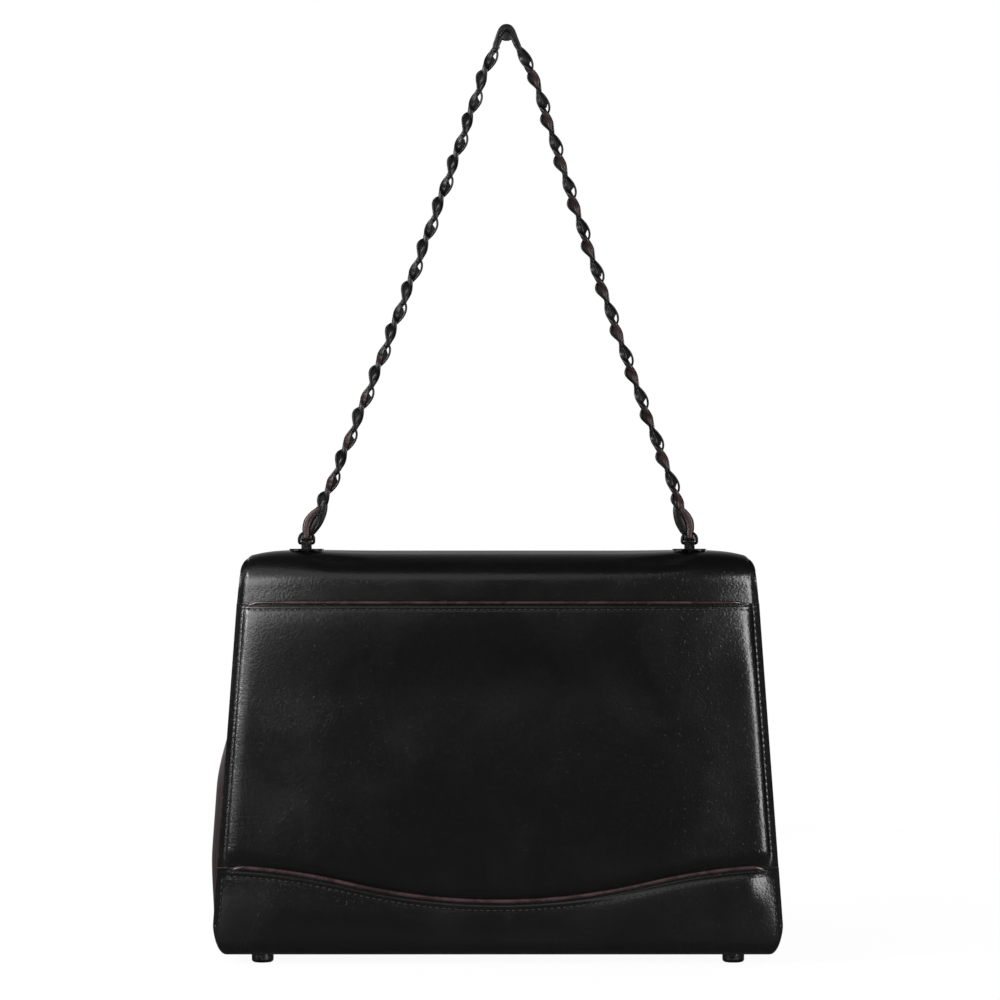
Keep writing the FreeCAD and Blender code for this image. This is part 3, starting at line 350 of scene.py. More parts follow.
APEX_LACE_EDGES = (-0.6, -1.0), (0.7, 1.2)
APEX_LACE_THICK = 2.4
APEX_KNOT_DROP = 2.6
APEX_KNOT_REACH = 3.4
APEX_KNOT_HALF = 3.9
APEX_KNOT_NARROWING = 0.15
APEX_KNOT_THICK = 2.2
APEX_LINK_SHARE = 0.55
APEX_LINK_DEPTH = 1.5
APEX_LINK_DROP = 1.4
APEX_LINK_BEND = 3.2
APEX_LINK_TILT = 0.5
RIBBON_ROUNDING = 0.75, 0.8
RIBBON_CUP = 0.25
STRETCHES = (
    ("lower", 0, LOW_LINKS), ("middle", LOW_LINKS, MIDDLE_LINKS), ("upper", MIDDLE_LINKS, LINKS_PER_STRAND),
)

# Tones of the finishes, dark and light, as red, green and blue
CALF_TONES = (0.0014, 0.0013, 0.0016), (0.0028, 0.0025, 0.003)
CALF_RUBBED = (0.03, 0.022, 0.02)
SIDE_TONES = (0.009, 0.0036, 0.0042), (0.017, 0.0064, 0.0072)
EDGE_TONES = (0.014, 0.007, 0.008), (0.036, 0.018, 0.018)
EDGE_FLECK = (0.02, 0.01, 0.01)
LINING_TONES = (0.075, 0.016, 0.023), (0.11, 0.028, 0.036)
LINING_FLECK = (0.06, 0.014, 0.02)
LACE_BLACK = (0.003, 0.0026, 0.0028)
LACE_TONES = (0.022, 0.0095, 0.0095), (0.055, 0.026, 0.025)
LACE_LINES = 7.0
PLATE_TONES = (0.014, 0.013, 0.014), (0.03, 0.029, 0.031), (0.16, 0.155, 0.15)
STEEL_TONES = (0.3, 0.3, 0.31), (0.42, 0.42, 0.42)
BOARD_TONES = (0.09, 0.082, 0.074), (0.17, 0.155, 0.14)
THREAD_TONES = (0.004, 0.0038, 0.0042), (0.024, 0.023, 0.024)
THREAD_LAY = 9.0
TABLE_TONES = (0.9, 0.9, 0.9), (0.94, 0.94, 0.94)

# Pieces that keep the solids' own shape, with a duller black than the links
STRAP_FITTINGS = "strap_anchor_left", "strap_anchor_right", "strap_end_rings"

# Studio, in metres and watts: each light's name, place, aim, size and power
LIGHTS = (
    ("left_softbox", (-0.61, -0.88, 0.46), (-0.1, -0.04, 0.14), (0.52, 0.5), 5.0),
    ("left_strip", (-0.95, -0.62, 0.58), (-0.12, -0.04, 0.14), (0.2, 0.7), 13.0),
    ("right_strip", (0.715, -0.885, 0.4), (0.11, -0.04, 0.14), (0.31, 0.85), 8.8),
    ("high_front", (-0.3, -0.85, 1.15), (0.0, -0.03, 0.18), (0.9, 0.8), 1.6),
    ("far_left_softbox", (-0.7, 0.75, 0.55), (-0.1, 0.03, 0.14), (0.4, 0.6), 5.0),
    ("far_right_softbox", (0.8, 0.75, 0.4), (0.1, 0.03, 0.12), (0.3, 0.8), 5.0),
)
BACKDROP_RANGE = 0.33, 0.9
BACKDROP_GLOW = 0.003, 0.28
ROOM_GLOW = 0.35
FLOOR_GLOW = 0.09
FLOOR_SEEN_WHITE = 0.95
CAMERA_PLACE = (0.001, -2.039, 0.2277)
CAMERA_LENS = 146.9
CAMERA_SENSOR = 36.0
TABLE_REACH = 560.0
TABLE_BEHIND = 310.0


def half_width(z):
    return BASE_HALF - (BASE_HALF - TOP_HALF) * (z - FLOOR_GAP) / (TOP - FLOOR_GAP)


def wall_y(side, inset, z):
    return MID_Y + side * (HALF_DEPTH - inset - LEAN * (z - FLOOR_GAP))


def smooth(low, high, value):
    t = np.clip((np.asarray(value, float) - low) / (high - low), 0, 1)
    return t * t * (3 - 2 * t)


def band_edge(x):
    """Height of the base band's waved upper edge."""
    radius = (BAND_WAVE ** 2 + (BAND_RISE / 2) ** 2) / BAND_RISE
    reach = np.abs(np.asarray(x, float))
    low = radius - np.sqrt(radius ** 2 - np.minimum(reach, BAND_WAVE) ** 2)
    far = np.clip(2 * BAND_WAVE - reach, 0, BAND_WAVE)
    high = BAND_RISE - (radius - np.sqrt(radius ** 2 - far ** 2))
    return BAND_MIDDLE + np.where(reach < BAND_WAVE, low, high)


def base_raise(from_side):
    """How far the steep rounded lower corners lift the base, by distance from the side edge."""
    inside = np.clip(1 - from_side / CORNER_WIDTH, 0, 1)
    return BASE_ROUNDING * (1 - np.sqrt(1 - inside ** 2))


def corner_inset(z):
    """How far the lower corners draw the side edge in at a height."""
    low = np.clip(1 - (z - FLOOR_GAP) / BASE_ROUNDING, 0, 1)
    return CORNER_WIDTH * (1 - np.sqrt(1 - low ** 2))


def top_half(y):
    """Half width of the top, which is narrower than the back from the shoulder on."""
    return half_width(TOP_ROLL_START) - TOP_NARROW * smooth(*TOP_NARROW_RANGE, y)


def top_drop(from_side):
    """How far the top rolls down towards its side edges."""
    share = np.clip((TOP_ROLL_LENGTH - from_side) / TOP_ROLL_LENGTH, 0, 1)
    return TOP_ROLL_DROP * (1 - (1 - share ** TOP_ROLL_POWER) ** (1 / TOP_ROLL_POWER))


def top_dip(x, y):
    """How far the top sinks between the strap anchors, most on the back half."""
    depth = TOP_DIP_BACK - (TOP_DIP_BACK - TOP_DIP_FRONT) * smooth(*TOP_DIP_ALONG, y)
    return smooth(*TOP_DIP_ACROSS, np.abs(x)) * depth


def anchor_crease(x, drop):
    """Depth of the crease that sweeps inwards from under each strap anchor, by drop below the top."""
    inward = CREASE_ANCHOR_X - np.abs(x)
    line = CREASE_DROP * (1 - np.exp(-np.clip(inward, 0, None) / CREASE_SWEEP))
    fade = smooth(*CREASE_START, inward) * smooth(*CREASE_FADE, inward)
    below = drop - line
    return CREASE_DEPTH * fade * np.exp(-(below / np.where(below < 0, *CREASE_WIDTHS)) ** 2)


def leather_waves(x, z):
    """Slight unevenness of hand-stretched leather, from waves of lengths that don't fall together."""
    broad = np.sin(x / 23 + z / 41 + 0.6) * np.sin(z / 19 - x / 67 + 1.1)
    fine = np.sin(x / 11.5 - z / 17 + 2.0) * np.sin(z / 13 + x / 29)
    return BROAD_WAVE * broad + FINE_WAVE * fine


def creases(gap, lines):
    """Grooves along an edge: each has a distance from the edge, a depth and a half width."""
    return -sum(depth * np.exp(-((gap - place) / width) ** 2) for place, depth, width in lines)


def filled(from_side, spread_out):
    """Share of a panel's full rise, which grows inwards from its sewn lip."""
    return 1 - np.exp(-np.clip(from_side - SEAM_LIP, 0, None) / spread_out)


def seam_profile(from_side, height=SEAM_RISE, spread_out=SEAM_SPREAD):
    """Rise of a panel above its sewn side flange."""
    fill = PANEL_FILL * smooth(*PANEL_FILL_RANGE, from_side)
    return creases(from_side, SEAM_GROOVE) + height * filled(from_side, spread_out) + fill


def pocket_puff(x, z):
    """Swell of the pocket: full in the middle, drawn in under its edge and bowed out near the top."""
    side = half_width(z) - np.abs(x)
    below = POCKET_EDGE - z
    above = z - band_edge(x)
    height = np.clip(1 - ((z - POCKET_CROWN_MIDDLE) / POCKET_CROWN_REACH) ** 2, 0, 1)
    crown = POCKET_CROWN * height * smooth(*POCKET_CROWN_RANGE, side)
    spread_out = POCKET_SEAM_SPREAD + POCKET_SEAM_EASE * smooth(*POCKET_EASE_RANGE, z)
    rise = seam_profile(side, POCKET_SEAM_RISE, spread_out) + crown
    drawn_in = np.exp(-np.clip(below, 0, None) / POCKET_DRAW_REACH) * smooth(*POCKET_DRAW_RANGE, side)
    free = POCKET_TUCKED + (1 - POCKET_TUCKED) * smooth(*POCKET_TUCK_RANGE, above)
    crease = creases(below, POCKET_CREASES) * smooth(*POCKET_CREASE_ENDS, side)
    calm = smooth(*WAVE_CALM, side) * smooth(*WAVE_CALM, below) * smooth(*WAVE_CALM_LOW, above)
    bow = POCKET_BOW * filled(side, BOW_SPREAD) * smooth(*POCKET_BOW_RANGE, z)
    return rise * free - drawn_in + crease + bow + leather_waves(x, z) * calm


def back_puff(x, z):
    """Swell of the back above the pocket."""
    side = half_width(z) - np.abs(x)
    full = smooth(*BACK_BOW_START, z) * (1 - smooth(*BACK_BOW_END, z))
    return creases(side, SEAM_GROOVE) + BACK_BOW * filled(side, BOW_SPREAD) * full


def band_puff(x, z):
    """Swell of the base band, fuller under its edge at the right end."""
    side = half_width(z) - np.abs(x)
    below = band_edge(x) - z
    seam = BAND_SEAM * seam_profile(side) * smooth(*BAND_SEAM_BELOW, below) * smooth(*BAND_SEAM_ABOVE, z)
    swell = smooth(*BAND_SWELL_BELOW, below) * smooth(*BAND_SWELL_ABOVE, z)
    right_end = smooth(*RIGHT_END_SIDE, side) * smooth(*RIGHT_END_BELOW, below)
    right_end *= (1 - smooth(*RIGHT_END_LOW, below)) * smooth(*RIGHT_END_ACROSS, x)
    crease = creases(below, BAND_CREASES) * smooth(*BAND_CREASE_ENDS, side)
    return seam + BAND_SWELL * filled(side, BAND_SWELL_SPREAD) * swell + RIGHT_END_SWELL * right_end + crease


def front_puff(x, z):
    """Swell of the front wall, pressed flat where the flap covers it."""
    side = half_width(z) - np.abs(x)
    free = FRONT_TUCKED + (1 - FRONT_TUCKED) * smooth(*FRONT_TUCK_RANGE, z - band_edge(x))
    return seam_profile(side) * free * (FRONT_FULL - FRONT_PRESSED * smooth(*FRONT_COVERED, z))


def flap_puff(from_edge):
    """Swell of the flap inside its edge."""
    lip = FLAP_LIP * smooth(*FLAP_LIP_RANGE, from_edge)
    return creases(from_edge, FLAP_CREASES) + lip + FLAP_SWELL * smooth(*FLAP_SWELL_RANGE, from_edge)


def on_wall(side, inset, puff, x, z):
    """Points on the swollen face of a wall; side is -1 at the back and 1 in front."""
    return np.stack([x, wall_y(side, inset, z) + side * puff(x, z), z], axis=1)


def run_length(path):
    """Length along a path from its start to each of its points."""
    return np.concatenate([[0], np.cumsum(np.linalg.norm(np.diff(path, axis=0), axis=1))])


def points_at(stops, places, path):
    """Points of a path at the stops, where places says how far along each of its points lies."""
    return np.stack([np.interp(stops, places, path[:, axis]) for axis in range(3)], axis=1)


def fitted_columns(full, height_at, half_at):
    """Positions across a panel whose half width changes with height, and the heights that they lie at."""
    x = columns(full)
    for _ in range(3):
        height = height_at(x)
        x = columns(full) * half_at(height) / full
    return x, height


def columns(width, middle=60, edge=22, edge_reach=30.0):
    """Positions across a panel, close together at its side edges."""
    angle = np.linspace(0, math.pi / 2, edge)
    inside = edge_reach * (1 - np.sin(angle))
    core = np.linspace(-1, 1, middle)[1:-1] * (width - edge_reach)
    return np.concatenate([-(width - inside[::-1]), core, width - inside])


def spread(stops, counts):
    """Values that run through the stops, with a number of steps between each pair."""
    runs = [np.linspace(a, b, n, endpoint=False) for a, b, n in zip(stops, stops[1:], counts)]
    return np.concatenate(runs + [np.array(stops[-1:])])


def grid_normals(grid):
    across = np.gradient(grid, axis=1)
    along = np.gradient(grid, axis=0)
    normal = np.cross(across, along)
    return normal / np.maximum(np.linalg.norm(normal, axis=2, keepdims=True), 1e-9)


def add_piece(name, points, faces, material, uv=None):
    """Mesh object from points in millimetres."""
    mesh = bpy.data.meshes.new(name)
    mesh.from_pydata((np.asarray(points, float) * MM).tolist(), [], faces)
    mesh.update()
    if uv is not None:
        layer = mesh.uv_layers.new(name="along")
        corner = np.empty(len(mesh.loops), int)
        mesh.loops.foreach_get("vertex_index", corner)
        layer.data.foreach_set("uv", np.asarray(uv, np.float32)[corner].ravel())
    mesh.polygons.foreach_set("use_smooth", [True] * len(mesh.polygons))
    mesh.materials.append(material)
    piece = bpy.data.objects.new(name, mesh)
    bpy.context.scene.collection.objects.link(piece)
    return piece


def sheet_faces(rows, cols, start=0, flip=False):
    index = np.arange(rows * cols).reshape(rows, cols) + start
    quads = np.stack([index[:-1, :-1], index[:-1, 1:], index[1:, 1:], index[1:, :-1]], axis=-1)
    quads = quads.reshape(-1, 4)
    return (quads[:, ::-1] if flip else quads).tolist()


def shell(name, outer, thickness, material):
    """Closed leather sheet with this outer face, and its back at an even depth behind it."""
    rows, cols = outer.shape[:2]
    inner = outer - grid_normals(outer) * thickness
    inner[..., 0] = np.clip(inner[..., 0], -np.abs(outer[..., 0]), np.abs(outer[..., 0]))
    count = rows * cols
    faces = sheet_faces(rows, cols) + sheet_faces(rows, cols, count, flip=True)
    index = np.arange(count).reshape(rows, cols)
    rim = np.concatenate([index[0, :], index[1:, -1], index[-1, -2::-1], index[-2:0:-1, 0]])
    following = np.roll(rim, -1)
    faces += np.stack([following, rim, rim + count, following + count], axis=-1).tolist()
    return add_piece(name, np.concatenate([outer.reshape(-1, 3), inner.reshape(-1, 3)]), faces, material)


def path_frames(path, up, closed):
    """Unit sides and ups along a path."""
    ahead = np.roll(path, -1, axis=0) - np.roll(path, 1, axis=0) if closed else np.gradient(path, axis=0)
    tangent = ahead / np.linalg.norm(ahead, axis=1, keepdims=True)
    side = np.cross(tangent, np.broadcast_to(np.asarray(up, float), path.shape))
    side /= np.maximum(np.linalg.norm(side, axis=1, keepdims=True), 1e-9)
    return side, np.cross(side, tangent)


def sweep(path, section, up, closed=False):
    """Points, faces and along-and-around coordinates of a section carried along a path."""
    side, top = path_frames(path, up, closed)
    section = np.asarray(section, float)
    rings = path[:, None] + side[:, None] * section[None, :, :1] + top[:, None] * section[None, :, 1:]
    count, ring = len(path), len(section)
    around = np.arange(ring)[None] / ring
    uv = np.stack(np.broadcast_arrays(run_length(path)[:, None], around), axis=-1).reshape(-1, 2)
    index = np.arange(count * ring).reshape(count, ring)
    ahead = np.roll(index, -1, axis=0) if closed else index[1:]
    base = index if closed else index[:-1]
    quads = np.stack([base, np.roll(base, -1, 1), np.roll(ahead, -1, 1), ahead], axis=-1)
    quads = quads.reshape(-1, 4).tolist()
    if not closed:
        quads += [index[0, ::-1].tolist(), index[-1].tolist()]
    return rings.reshape(-1, 3), quads, uv


def oval(wide, high, count=12):
    angle = np.linspace(0, 2 * math.pi, count, endpoint=False)
    return np.stack([wide * np.cos(angle), high * np.sin(angle)], axis=1)


def join_parts(parts):
    """One list of points, faces and coordinates from several."""
    points, faces, coords, start = [], [], [], 0
    for part_points, part_faces, part_uv in parts:
        points.append(part_points)
        coords.append(part_uv)
        faces += [[corner + start for corner in face] for face in part_faces]
        start += len(part_points)
    return np.concatenate(points), faces, np.concatenate(coords)


def tube(name, path, radius, material, up=(0, 1, 0)):
    points, faces, uv = sweep(np.asarray(path, float), oval(radius, radius), up)
    return add_piece(name, points, faces, material, uv)


def even_points(path, pitch):
    """Points and directions at an even pitch along a path."""
    path = np.asarray(path, float)
    length = run_length(path)
    count = max(int(length[-1] / pitch), 1)
    stops = (np.arange(count) + 0.5) * length[-1] / count
    step = 0.2
    place, behind, ahead = (points_at(stops + shift, length, path) for shift in (0, -step, step))
    direction = ahead - behind
    return place, direction / np.linalg.norm(direction, axis=1, keepdims=True)


def stitch_parts(path, out):
    """Short raised thread stitches along a path that lies on the leather; out points away from it."""
    centers, directions = even_points(path, STITCH_PITCH)
    out = np.asarray(out, float) / np.linalg.norm(out)
    around = 6
    reach = np.linspace(-0.5, 0.5, len(STITCH_TAPER))
    arch = np.stack([reach * STITCH_LENGTH, STITCH_ARCH - STITCH_BEND * reach ** 2], axis=1)
    size = np.repeat(STITCH_RADIUS * np.array(STITCH_TAPER), around)[:, None]
    parts = []
    for center, direction in zip(centers, directions):
        line = center + arch[:, :1] * direction + arch[:, 1:] * out
        points, faces, uv = sweep(line, oval(1, 1, around), out)
        middle = np.repeat(line, around, axis=0)
        parts.append((middle + (points - middle) * size, faces, uv))
    return parts


def stitches(name, rows, material, body):
    """One piece of thread for several stitched rows."""
    points, faces, uv = join_parts([part for path, out in rows for part in stitch_parts(path, out)])
    piece = add_piece(name, points, faces, material, uv)
    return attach(piece, body)


def dress(piece, body, slot, *nodes):
    """Put a piece on its body and hide the solids that it stands for; its slot is not used."""
    if nodes:
        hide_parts(*nodes)
    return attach(piece, body)


# Node helpers

def add_node(tree, kind, inputs=None, **settings):
    made = tree.nodes.new(kind)
    for key, value in settings.items():
        setattr(made, key, value)
    for key, value in (inputs or {}).items():
        socket = made.inputs[key]
        if isinstance(value, bpy.types.NodeSocket):
            tree.links.new(value, socket)
        else:
            socket.default_value = value
    return made


def math_node(tree, operation, first, second=0.0, third=0.0):
    return add_node(tree, "ShaderNodeMath", {0: first, 1: second, 2: third}, operation=operation).outputs[0]


def object_place(tree):
    return add_node(tree, "ShaderNodeTexCoord").outputs["Object"]


def along_piece(tree):
    """Place along (X) and around (Y) a strip or thread."""
    place = add_node(tree, "ShaderNodeUVMap", uv_map="along").outputs[0]
    return add_node(tree, "ShaderNodeSeparateXYZ", {0: place}).outputs


def noise(tree, place, scale, detail, **more):
    values = {"Vector": place, "Scale": scale, "Detail": detail, **more}
    return add_node(tree, "ShaderNodeTexNoise", values).outputs["Fac"]


def ramp(tree, value, low, high, out_low=0.0, out_high=1.0):
    made = add_node(tree, "ShaderNodeMapRange", {
        "Value": value, "From Min": low, "From Max": high, "To Min": out_low, "To Max": out_high,
    }, interpolation_type="SMOOTHSTEP")
    return made.outputs["Result"]


def mix_color(tree, share, first, second):
    """Mix of two colours, each a socket or red, green and blue values."""
    made = add_node(tree, "ShaderNodeMix", {0: share}, data_type="RGBA")
    for socket, color in ((made.inputs[6], first), (made.inputs[7], second)):
        if isinstance(color, bpy.types.NodeSocket):
            tree.links.new(color, socket)
        else:
            socket.default_value = (*color, 1)
    return made.outputs[2]


def mirrored_rays(tree, path):
    """1 for rays that come by way of a shiny or clear surface."""
    return math_node(tree, "MAXIMUM", path["Is Glossy Ray"], path["Is Transmission Ray"])


def new_group(name, inputs, outputs):
    """Shader node group with float inputs and outputs."""
    tree = bpy.data.node_groups.new(name, "ShaderNodeTree")
    for label, value in inputs.items():
        socket = tree.interface.new_socket(label, in_out="INPUT", socket_type="NodeSocketFloat")
        socket.default_value = value
    for label in outputs:
        tree.interface.new_socket(label, in_out="OUTPUT", socket_type="NodeSocketFloat")
    return tree, tree.nodes.new("NodeGroupInput").outputs, tree.nodes.new("NodeGroupOutput").inputs


def hide_grain_group():
    """Fine calf grain: pebbles between hair-thin creases, and scattered pores."""
    settings = {"Pebbles per metre": 1500.0, "Pore depth": 0.5}
    tree, given, out = new_group("hide_grain", settings, ["Height", "Tone"])
    place = object_place(tree)
    pebbles = add_node(tree, "ShaderNodeTexVoronoi", {"Vector": place, "Scale": given[0], "Randomness": 0.9},
                       feature="SMOOTH_F1").outputs["Distance"]
    drift = noise(tree, place, math_node(tree, "MULTIPLY", given[0], 0.18), 4.0)
    pores = ramp(tree, noise(tree, place, given[0], 1.0), 0.62, 0.78)
    domes = math_node(tree, "MULTIPLY_ADD", pebbles, -0.7, 0.7)
    height = math_node(tree, "SUBTRACT", domes, math_node(tree, "MULTIPLY", pores, given[1]))
    tree.links.new(math_node(tree, "ADD", height, math_node(tree, "MULTIPLY", drift, 0.5)), out["Height"])
    tree.links.new(drift, out["Tone"])
    return tree


def handling_group():
    """Soft cloudy marks of polish and hands, and a little dust-like scatter."""
    tree, given, out = new_group("handling_marks", {"Clouds per metre": 22.0}, ["Smudge", "Scatter"])
    place = object_place(tree)
    cloud = noise(tree, place, given[0], 5.0, Roughness=0.58, Distortion=0.6)
    fleck = noise(tree, place, math_node(tree, "MULTIPLY", given[0], 36.0), 2.0)
    tree.links.new(ramp(tree, cloud, 0.34, 0.7), out["Smudge"])
    tree.links.new(ramp(tree, fleck, 0.55, 0.8), out["Scatter"])
    return tree


def rubbed_edge_group():
    """Where corners and rims are rubbed: convex places, broken up by noise."""
    settings = {"Sharpness": 0.53, "Breaks per metre": 700.0}
    tree, given, out = new_group("rubbed_edges", settings, ["Rub"])
    bend = add_node(tree, "ShaderNodeNewGeometry").outputs["Pointiness"]
    breaks = noise(tree, object_place(tree), given[1], 3.0)
    limit = math_node(tree, "ADD", given[0], 0.07)
    rim = add_node(tree, "ShaderNodeMapRange", {"Value": bend, "From Min": given[0], "From Max": limit})
    tree.links.new(math_node(tree, "MULTIPLY", rim.outputs[0], ramp(tree, breaks, 0.4, 0.62)), out["Rub"])
    return tree


def use_group(tree, group, **values):
    made = add_node(tree, "ShaderNodeGroup")
    made.node_tree = group
    for key, value in values.items():
        made.inputs[key.replace("_", " ")].default_value = value
    return made.outputs


def new_material(name):
    material = bpy.data.materials.new(name)
    material.use_nodes = True
    tree = material.node_tree
    return material, tree, tree.nodes["Principled BSDF"].inputs


def set_plain(shader, **values):
    for key, value in values.items():
        shader[key.replace("_", " ")].default_value = value


def bump(tree, height, depth, strength, under=None):
    made = add_node(tree, "ShaderNodeBump", {"Height": height, "Distance": depth, "Strength": strength})
    if under is not None:
        tree.links.new(under, made.inputs["Normal"])
    return made.outputs["Normal"]


def connect(tree, shader, **values):
    for key, value in values.items():
        tree.links.new(value, shader[key.replace("_", " ")])


class Finishes:
    """The bag's materials, made once from the shared groups."""

    def __init__(self):
        self.grain = hide_grain_group()
        self.handling = handling_group()
        self.rubbed = rubbed_edge_group()
        self.calf = self.polished_calf("polished_black_calf", CALF_TONES, (0.2, 0.275), 1.5, 0.12)
        self.side_calf = self.polished_calf("dark_side_calf", SIDE_TONES, (0.4, 0.5), 1.28, 0.0)
        self.edge = self.painted_edge()
        self.lining = self.lining_calf()
        self.lace = self.strap_lace()
        self.metal = self.black_plate("black_plated_metal", 1.0)
        self.dull_metal = self.black_plate("dull_black_metal", 0.3)
        self.steel = self.bright_steel()
        self.board = self.fibre_board()
        self.thread = self.waxed_thread()

    def polished_calf(self, name, tones, gloss, index, coat):
        material, tree, shader = new_material(name)
        grain = use_group(tree, self.grain, Pebbles_per_metre=1000.0, Pore_depth=0.4)
        marks = use_group(tree, self.handling, Clouds_per_metre=17.0)
        rub = use_group(tree, self.rubbed, Sharpness=0.54, Breaks_per_metre=500.0)["Rub"]
        rough = ramp(tree, marks["Smudge"], 0, 1, *gloss)
        connect(
            tree, shader,
            Base_Color=mix_color(tree, rub, mix_color(tree, grain["Tone"], *tones), CALF_RUBBED),
            Roughness=math_node(tree, "ADD", rough, math_node(tree, "MULTIPLY", rub, 0.5)),
            Normal=bump(tree, grain["Height"], 0.00012, 0.75),
        )
        set_plain(shader, IOR=index, Coat_Weight=coat, Coat_Roughness=0.5)
        return material

    def painted_edge(self):
        material, tree, shader = new_material("burgundy_painted_edge")
        grain = use_group(tree, self.grain, Pebbles_per_metre=2400.0, Pore_depth=0.2)
        marks = use_group(tree, self.handling, Clouds_per_metre=90.0)
        paint = mix_color(tree, marks["Smudge"], *EDGE_TONES)
        connect(
            tree, shader,
            Base_Color=mix_color(tree, marks["Scatter"], paint, EDGE_FLECK),
            Roughness=ramp(tree, marks["Smudge"], 0, 1, 0.24, 0.36),
            Normal=bump(tree, grain["Height"], 0.00006, 0.3),
        )
        set_plain(shader, Coat_Weight=0.3, Coat_Roughness=0.25)
        return material

    def lining_calf(self):
        material, tree, shader = new_material("burgundy_lining")
        grain = use_group(tree, self.grain, Pebbles_per_metre=1800.0, Pore_depth=0.3)
        marks = use_group(tree, self.handling, Clouds_per_metre=30.0)
        tone = mix_color(tree, grain["Tone"], *LINING_TONES)
        connect(
            tree, shader,
            Base_Color=mix_color(tree, marks["Scatter"], tone, LINING_FLECK),
            Roughness=ramp(tree, marks["Smudge"], 0, 1, 0.55, 0.7),
            Normal=bump(tree, grain["Height"], 0.00012, 0.4),
        )
        set_plain(shader, Sheen_Weight=0.15, Sheen_Roughness=0.5)
        return material

    def strap_lace(self):
        """Black lace whose cut burgundy edges show as fine lines along it."""
        material, tree, shader = new_material("woven_strap_lace")
        grain = use_group(tree, self.grain, Pebbles_per_metre=2600.0, Pore_depth=0.3)
        marks = use_group(tree, self.handling, Clouds_per_metre=120.0)
        around = along_piece(tree)["Y"]
        lines = math_node(tree, "SINE", math_node(tree, "MULTIPLY", around, 2 * math.pi * LACE_LINES))
        cut = math_node(tree, "MULTIPLY", ramp(tree, lines, -0.8, 0.0), ramp(tree, around, 0.5, 0.56))
        ridges = bump(tree, cut, 0.00012, 0.6)
        connect(
            tree, shader,
            Base_Color=mix_color(tree, cut, LACE_BLACK, mix_color(tree, marks["Smudge"], *LACE_TONES)),
            Roughness=ramp(tree, marks["Smudge"], 0, 1, 0.34, 0.5),
            Normal=bump(tree, grain["Height"], 0.00006, 0.3, ridges),
        )
        set_plain(shader, IOR=1.4)
        return material

    def black_plate(self, name, shine):
        material, tree, shader = new_material(name)
        marks = use_group(tree, self.handling, Clouds_per_metre=160.0)
        rub = use_group(tree, self.rubbed, Sharpness=0.53, Breaks_per_metre=900.0)["Rub"]
        dark, light, worn = (tuple(shine * value for value in tone) for tone in PLATE_TONES)
        connect(
            tree, shader,
            Base_Color=mix_color(tree, rub, mix_color(tree, marks["Smudge"], dark, light), worn),
            Roughness=ramp(tree, marks["Smudge"], 0, 1, 0.24, 0.38),
            Normal=bump(tree, marks["Scatter"], 0.00003, 0.25),
        )
        set_plain(shader, Metallic=0.85)
        return material

    def bright_steel(self):
        material, tree, shader = new_material("plain_steel_fasteners")
        marks = use_group(tree, self.handling, Clouds_per_metre=200.0)
        stretch = {"Vector": object_place(tree), "Scale": (300.0, 9000.0, 9000.0)}
        brushed = noise(tree, add_node(tree, "ShaderNodeMapping", stretch).outputs[0], 1.0, 2.0)
        connect(
            tree, shader,
            Base_Color=mix_color(tree, marks["Smudge"], *STEEL_TONES),
            Roughness=ramp(tree, brushed, 0.3, 0.7, 0.44, 0.58),
            Normal=bump(tree, brushed, 0.00002, 0.2),
        )
        set_plain(shader, Metallic=1.0)
        return material

    def fibre_board(self):
        material, tree, shader = new_material("grey_fibre_board")
        marks = use_group(tree, self.handling, Clouds_per_metre=60.0)
        fibres = noise(tree, object_place(tree), 2200.0, 4.0)
        connect(
            tree, shader,
            Base_Color=mix_color(tree, fibres, *BOARD_TONES),
            Roughness=ramp(tree, marks["Smudge"], 0, 1, 0.72, 0.85),
            Normal=bump(tree, fibres, 0.0001, 0.4),
        )
        return material

    def waxed_thread(self):
        material, tree, shader = new_material("waxed_black_thread")
        marks = use_group(tree, self.handling, Clouds_per_metre=240.0)
        place = along_piece(tree)
        lay = math_node(tree, "ADD", math_node(tree, "MULTIPLY", place["X"], THREAD_LAY),
                        math_node(tree, "MULTIPLY", place["Y"], 2 * math.pi))
        twist = ramp(tree, math_node(tree, "SINE", lay), -0.6, 0.6)
        connect(
            tree, shader,
            Base_Color=mix_color(tree, twist, *THREAD_TONES),
            Roughness=ramp(tree, marks["Smudge"], 0, 1, 0.36, 0.5),
            Normal=bump(tree, twist, 0.00008, 0.5),
        )
        set_plain(shader, IOR=1.4)
        return material

    def pale_floor(self):
        """White table that keeps a soft shadow under the bag."""
        material, tree, shader = new_material("pale_table")
        marks = use_group(tree, self.handling, Clouds_per_metre=3.0)
        connect(tree, shader, Base_Color=mix_color(tree, marks["Smudge"], *TABLE_TONES))
        set_plain(shader, Roughness=0.7)
        path = add_node(tree, "ShaderNodeLightPath").outputs
        seen = path["Is Camera Ray"]
        mirrored = mirrored_rays(tree, path)
        strength = math_node(tree, "MAXIMUM", seen, math_node(tree, "MULTIPLY", mirrored, FLOOR_GLOW))
        glow = add_node(tree, "ShaderNodeEmission", {"Color": (1, 1, 1, 1), "Strength": strength})
        share = math_node(tree, "MAXIMUM", math_node(tree, "MULTIPLY", seen, FLOOR_SEEN_WHITE), mirrored)
        lit = tree.nodes["Principled BSDF"].outputs[0]
        mixed = add_node(tree, "ShaderNodeMixShader", {0: share, 1: lit, 2: glow.outputs[0]})
        tree.links.new(mixed.outputs[0], tree.nodes["Material Output"].inputs["Surface"])
        return material


# Leather body

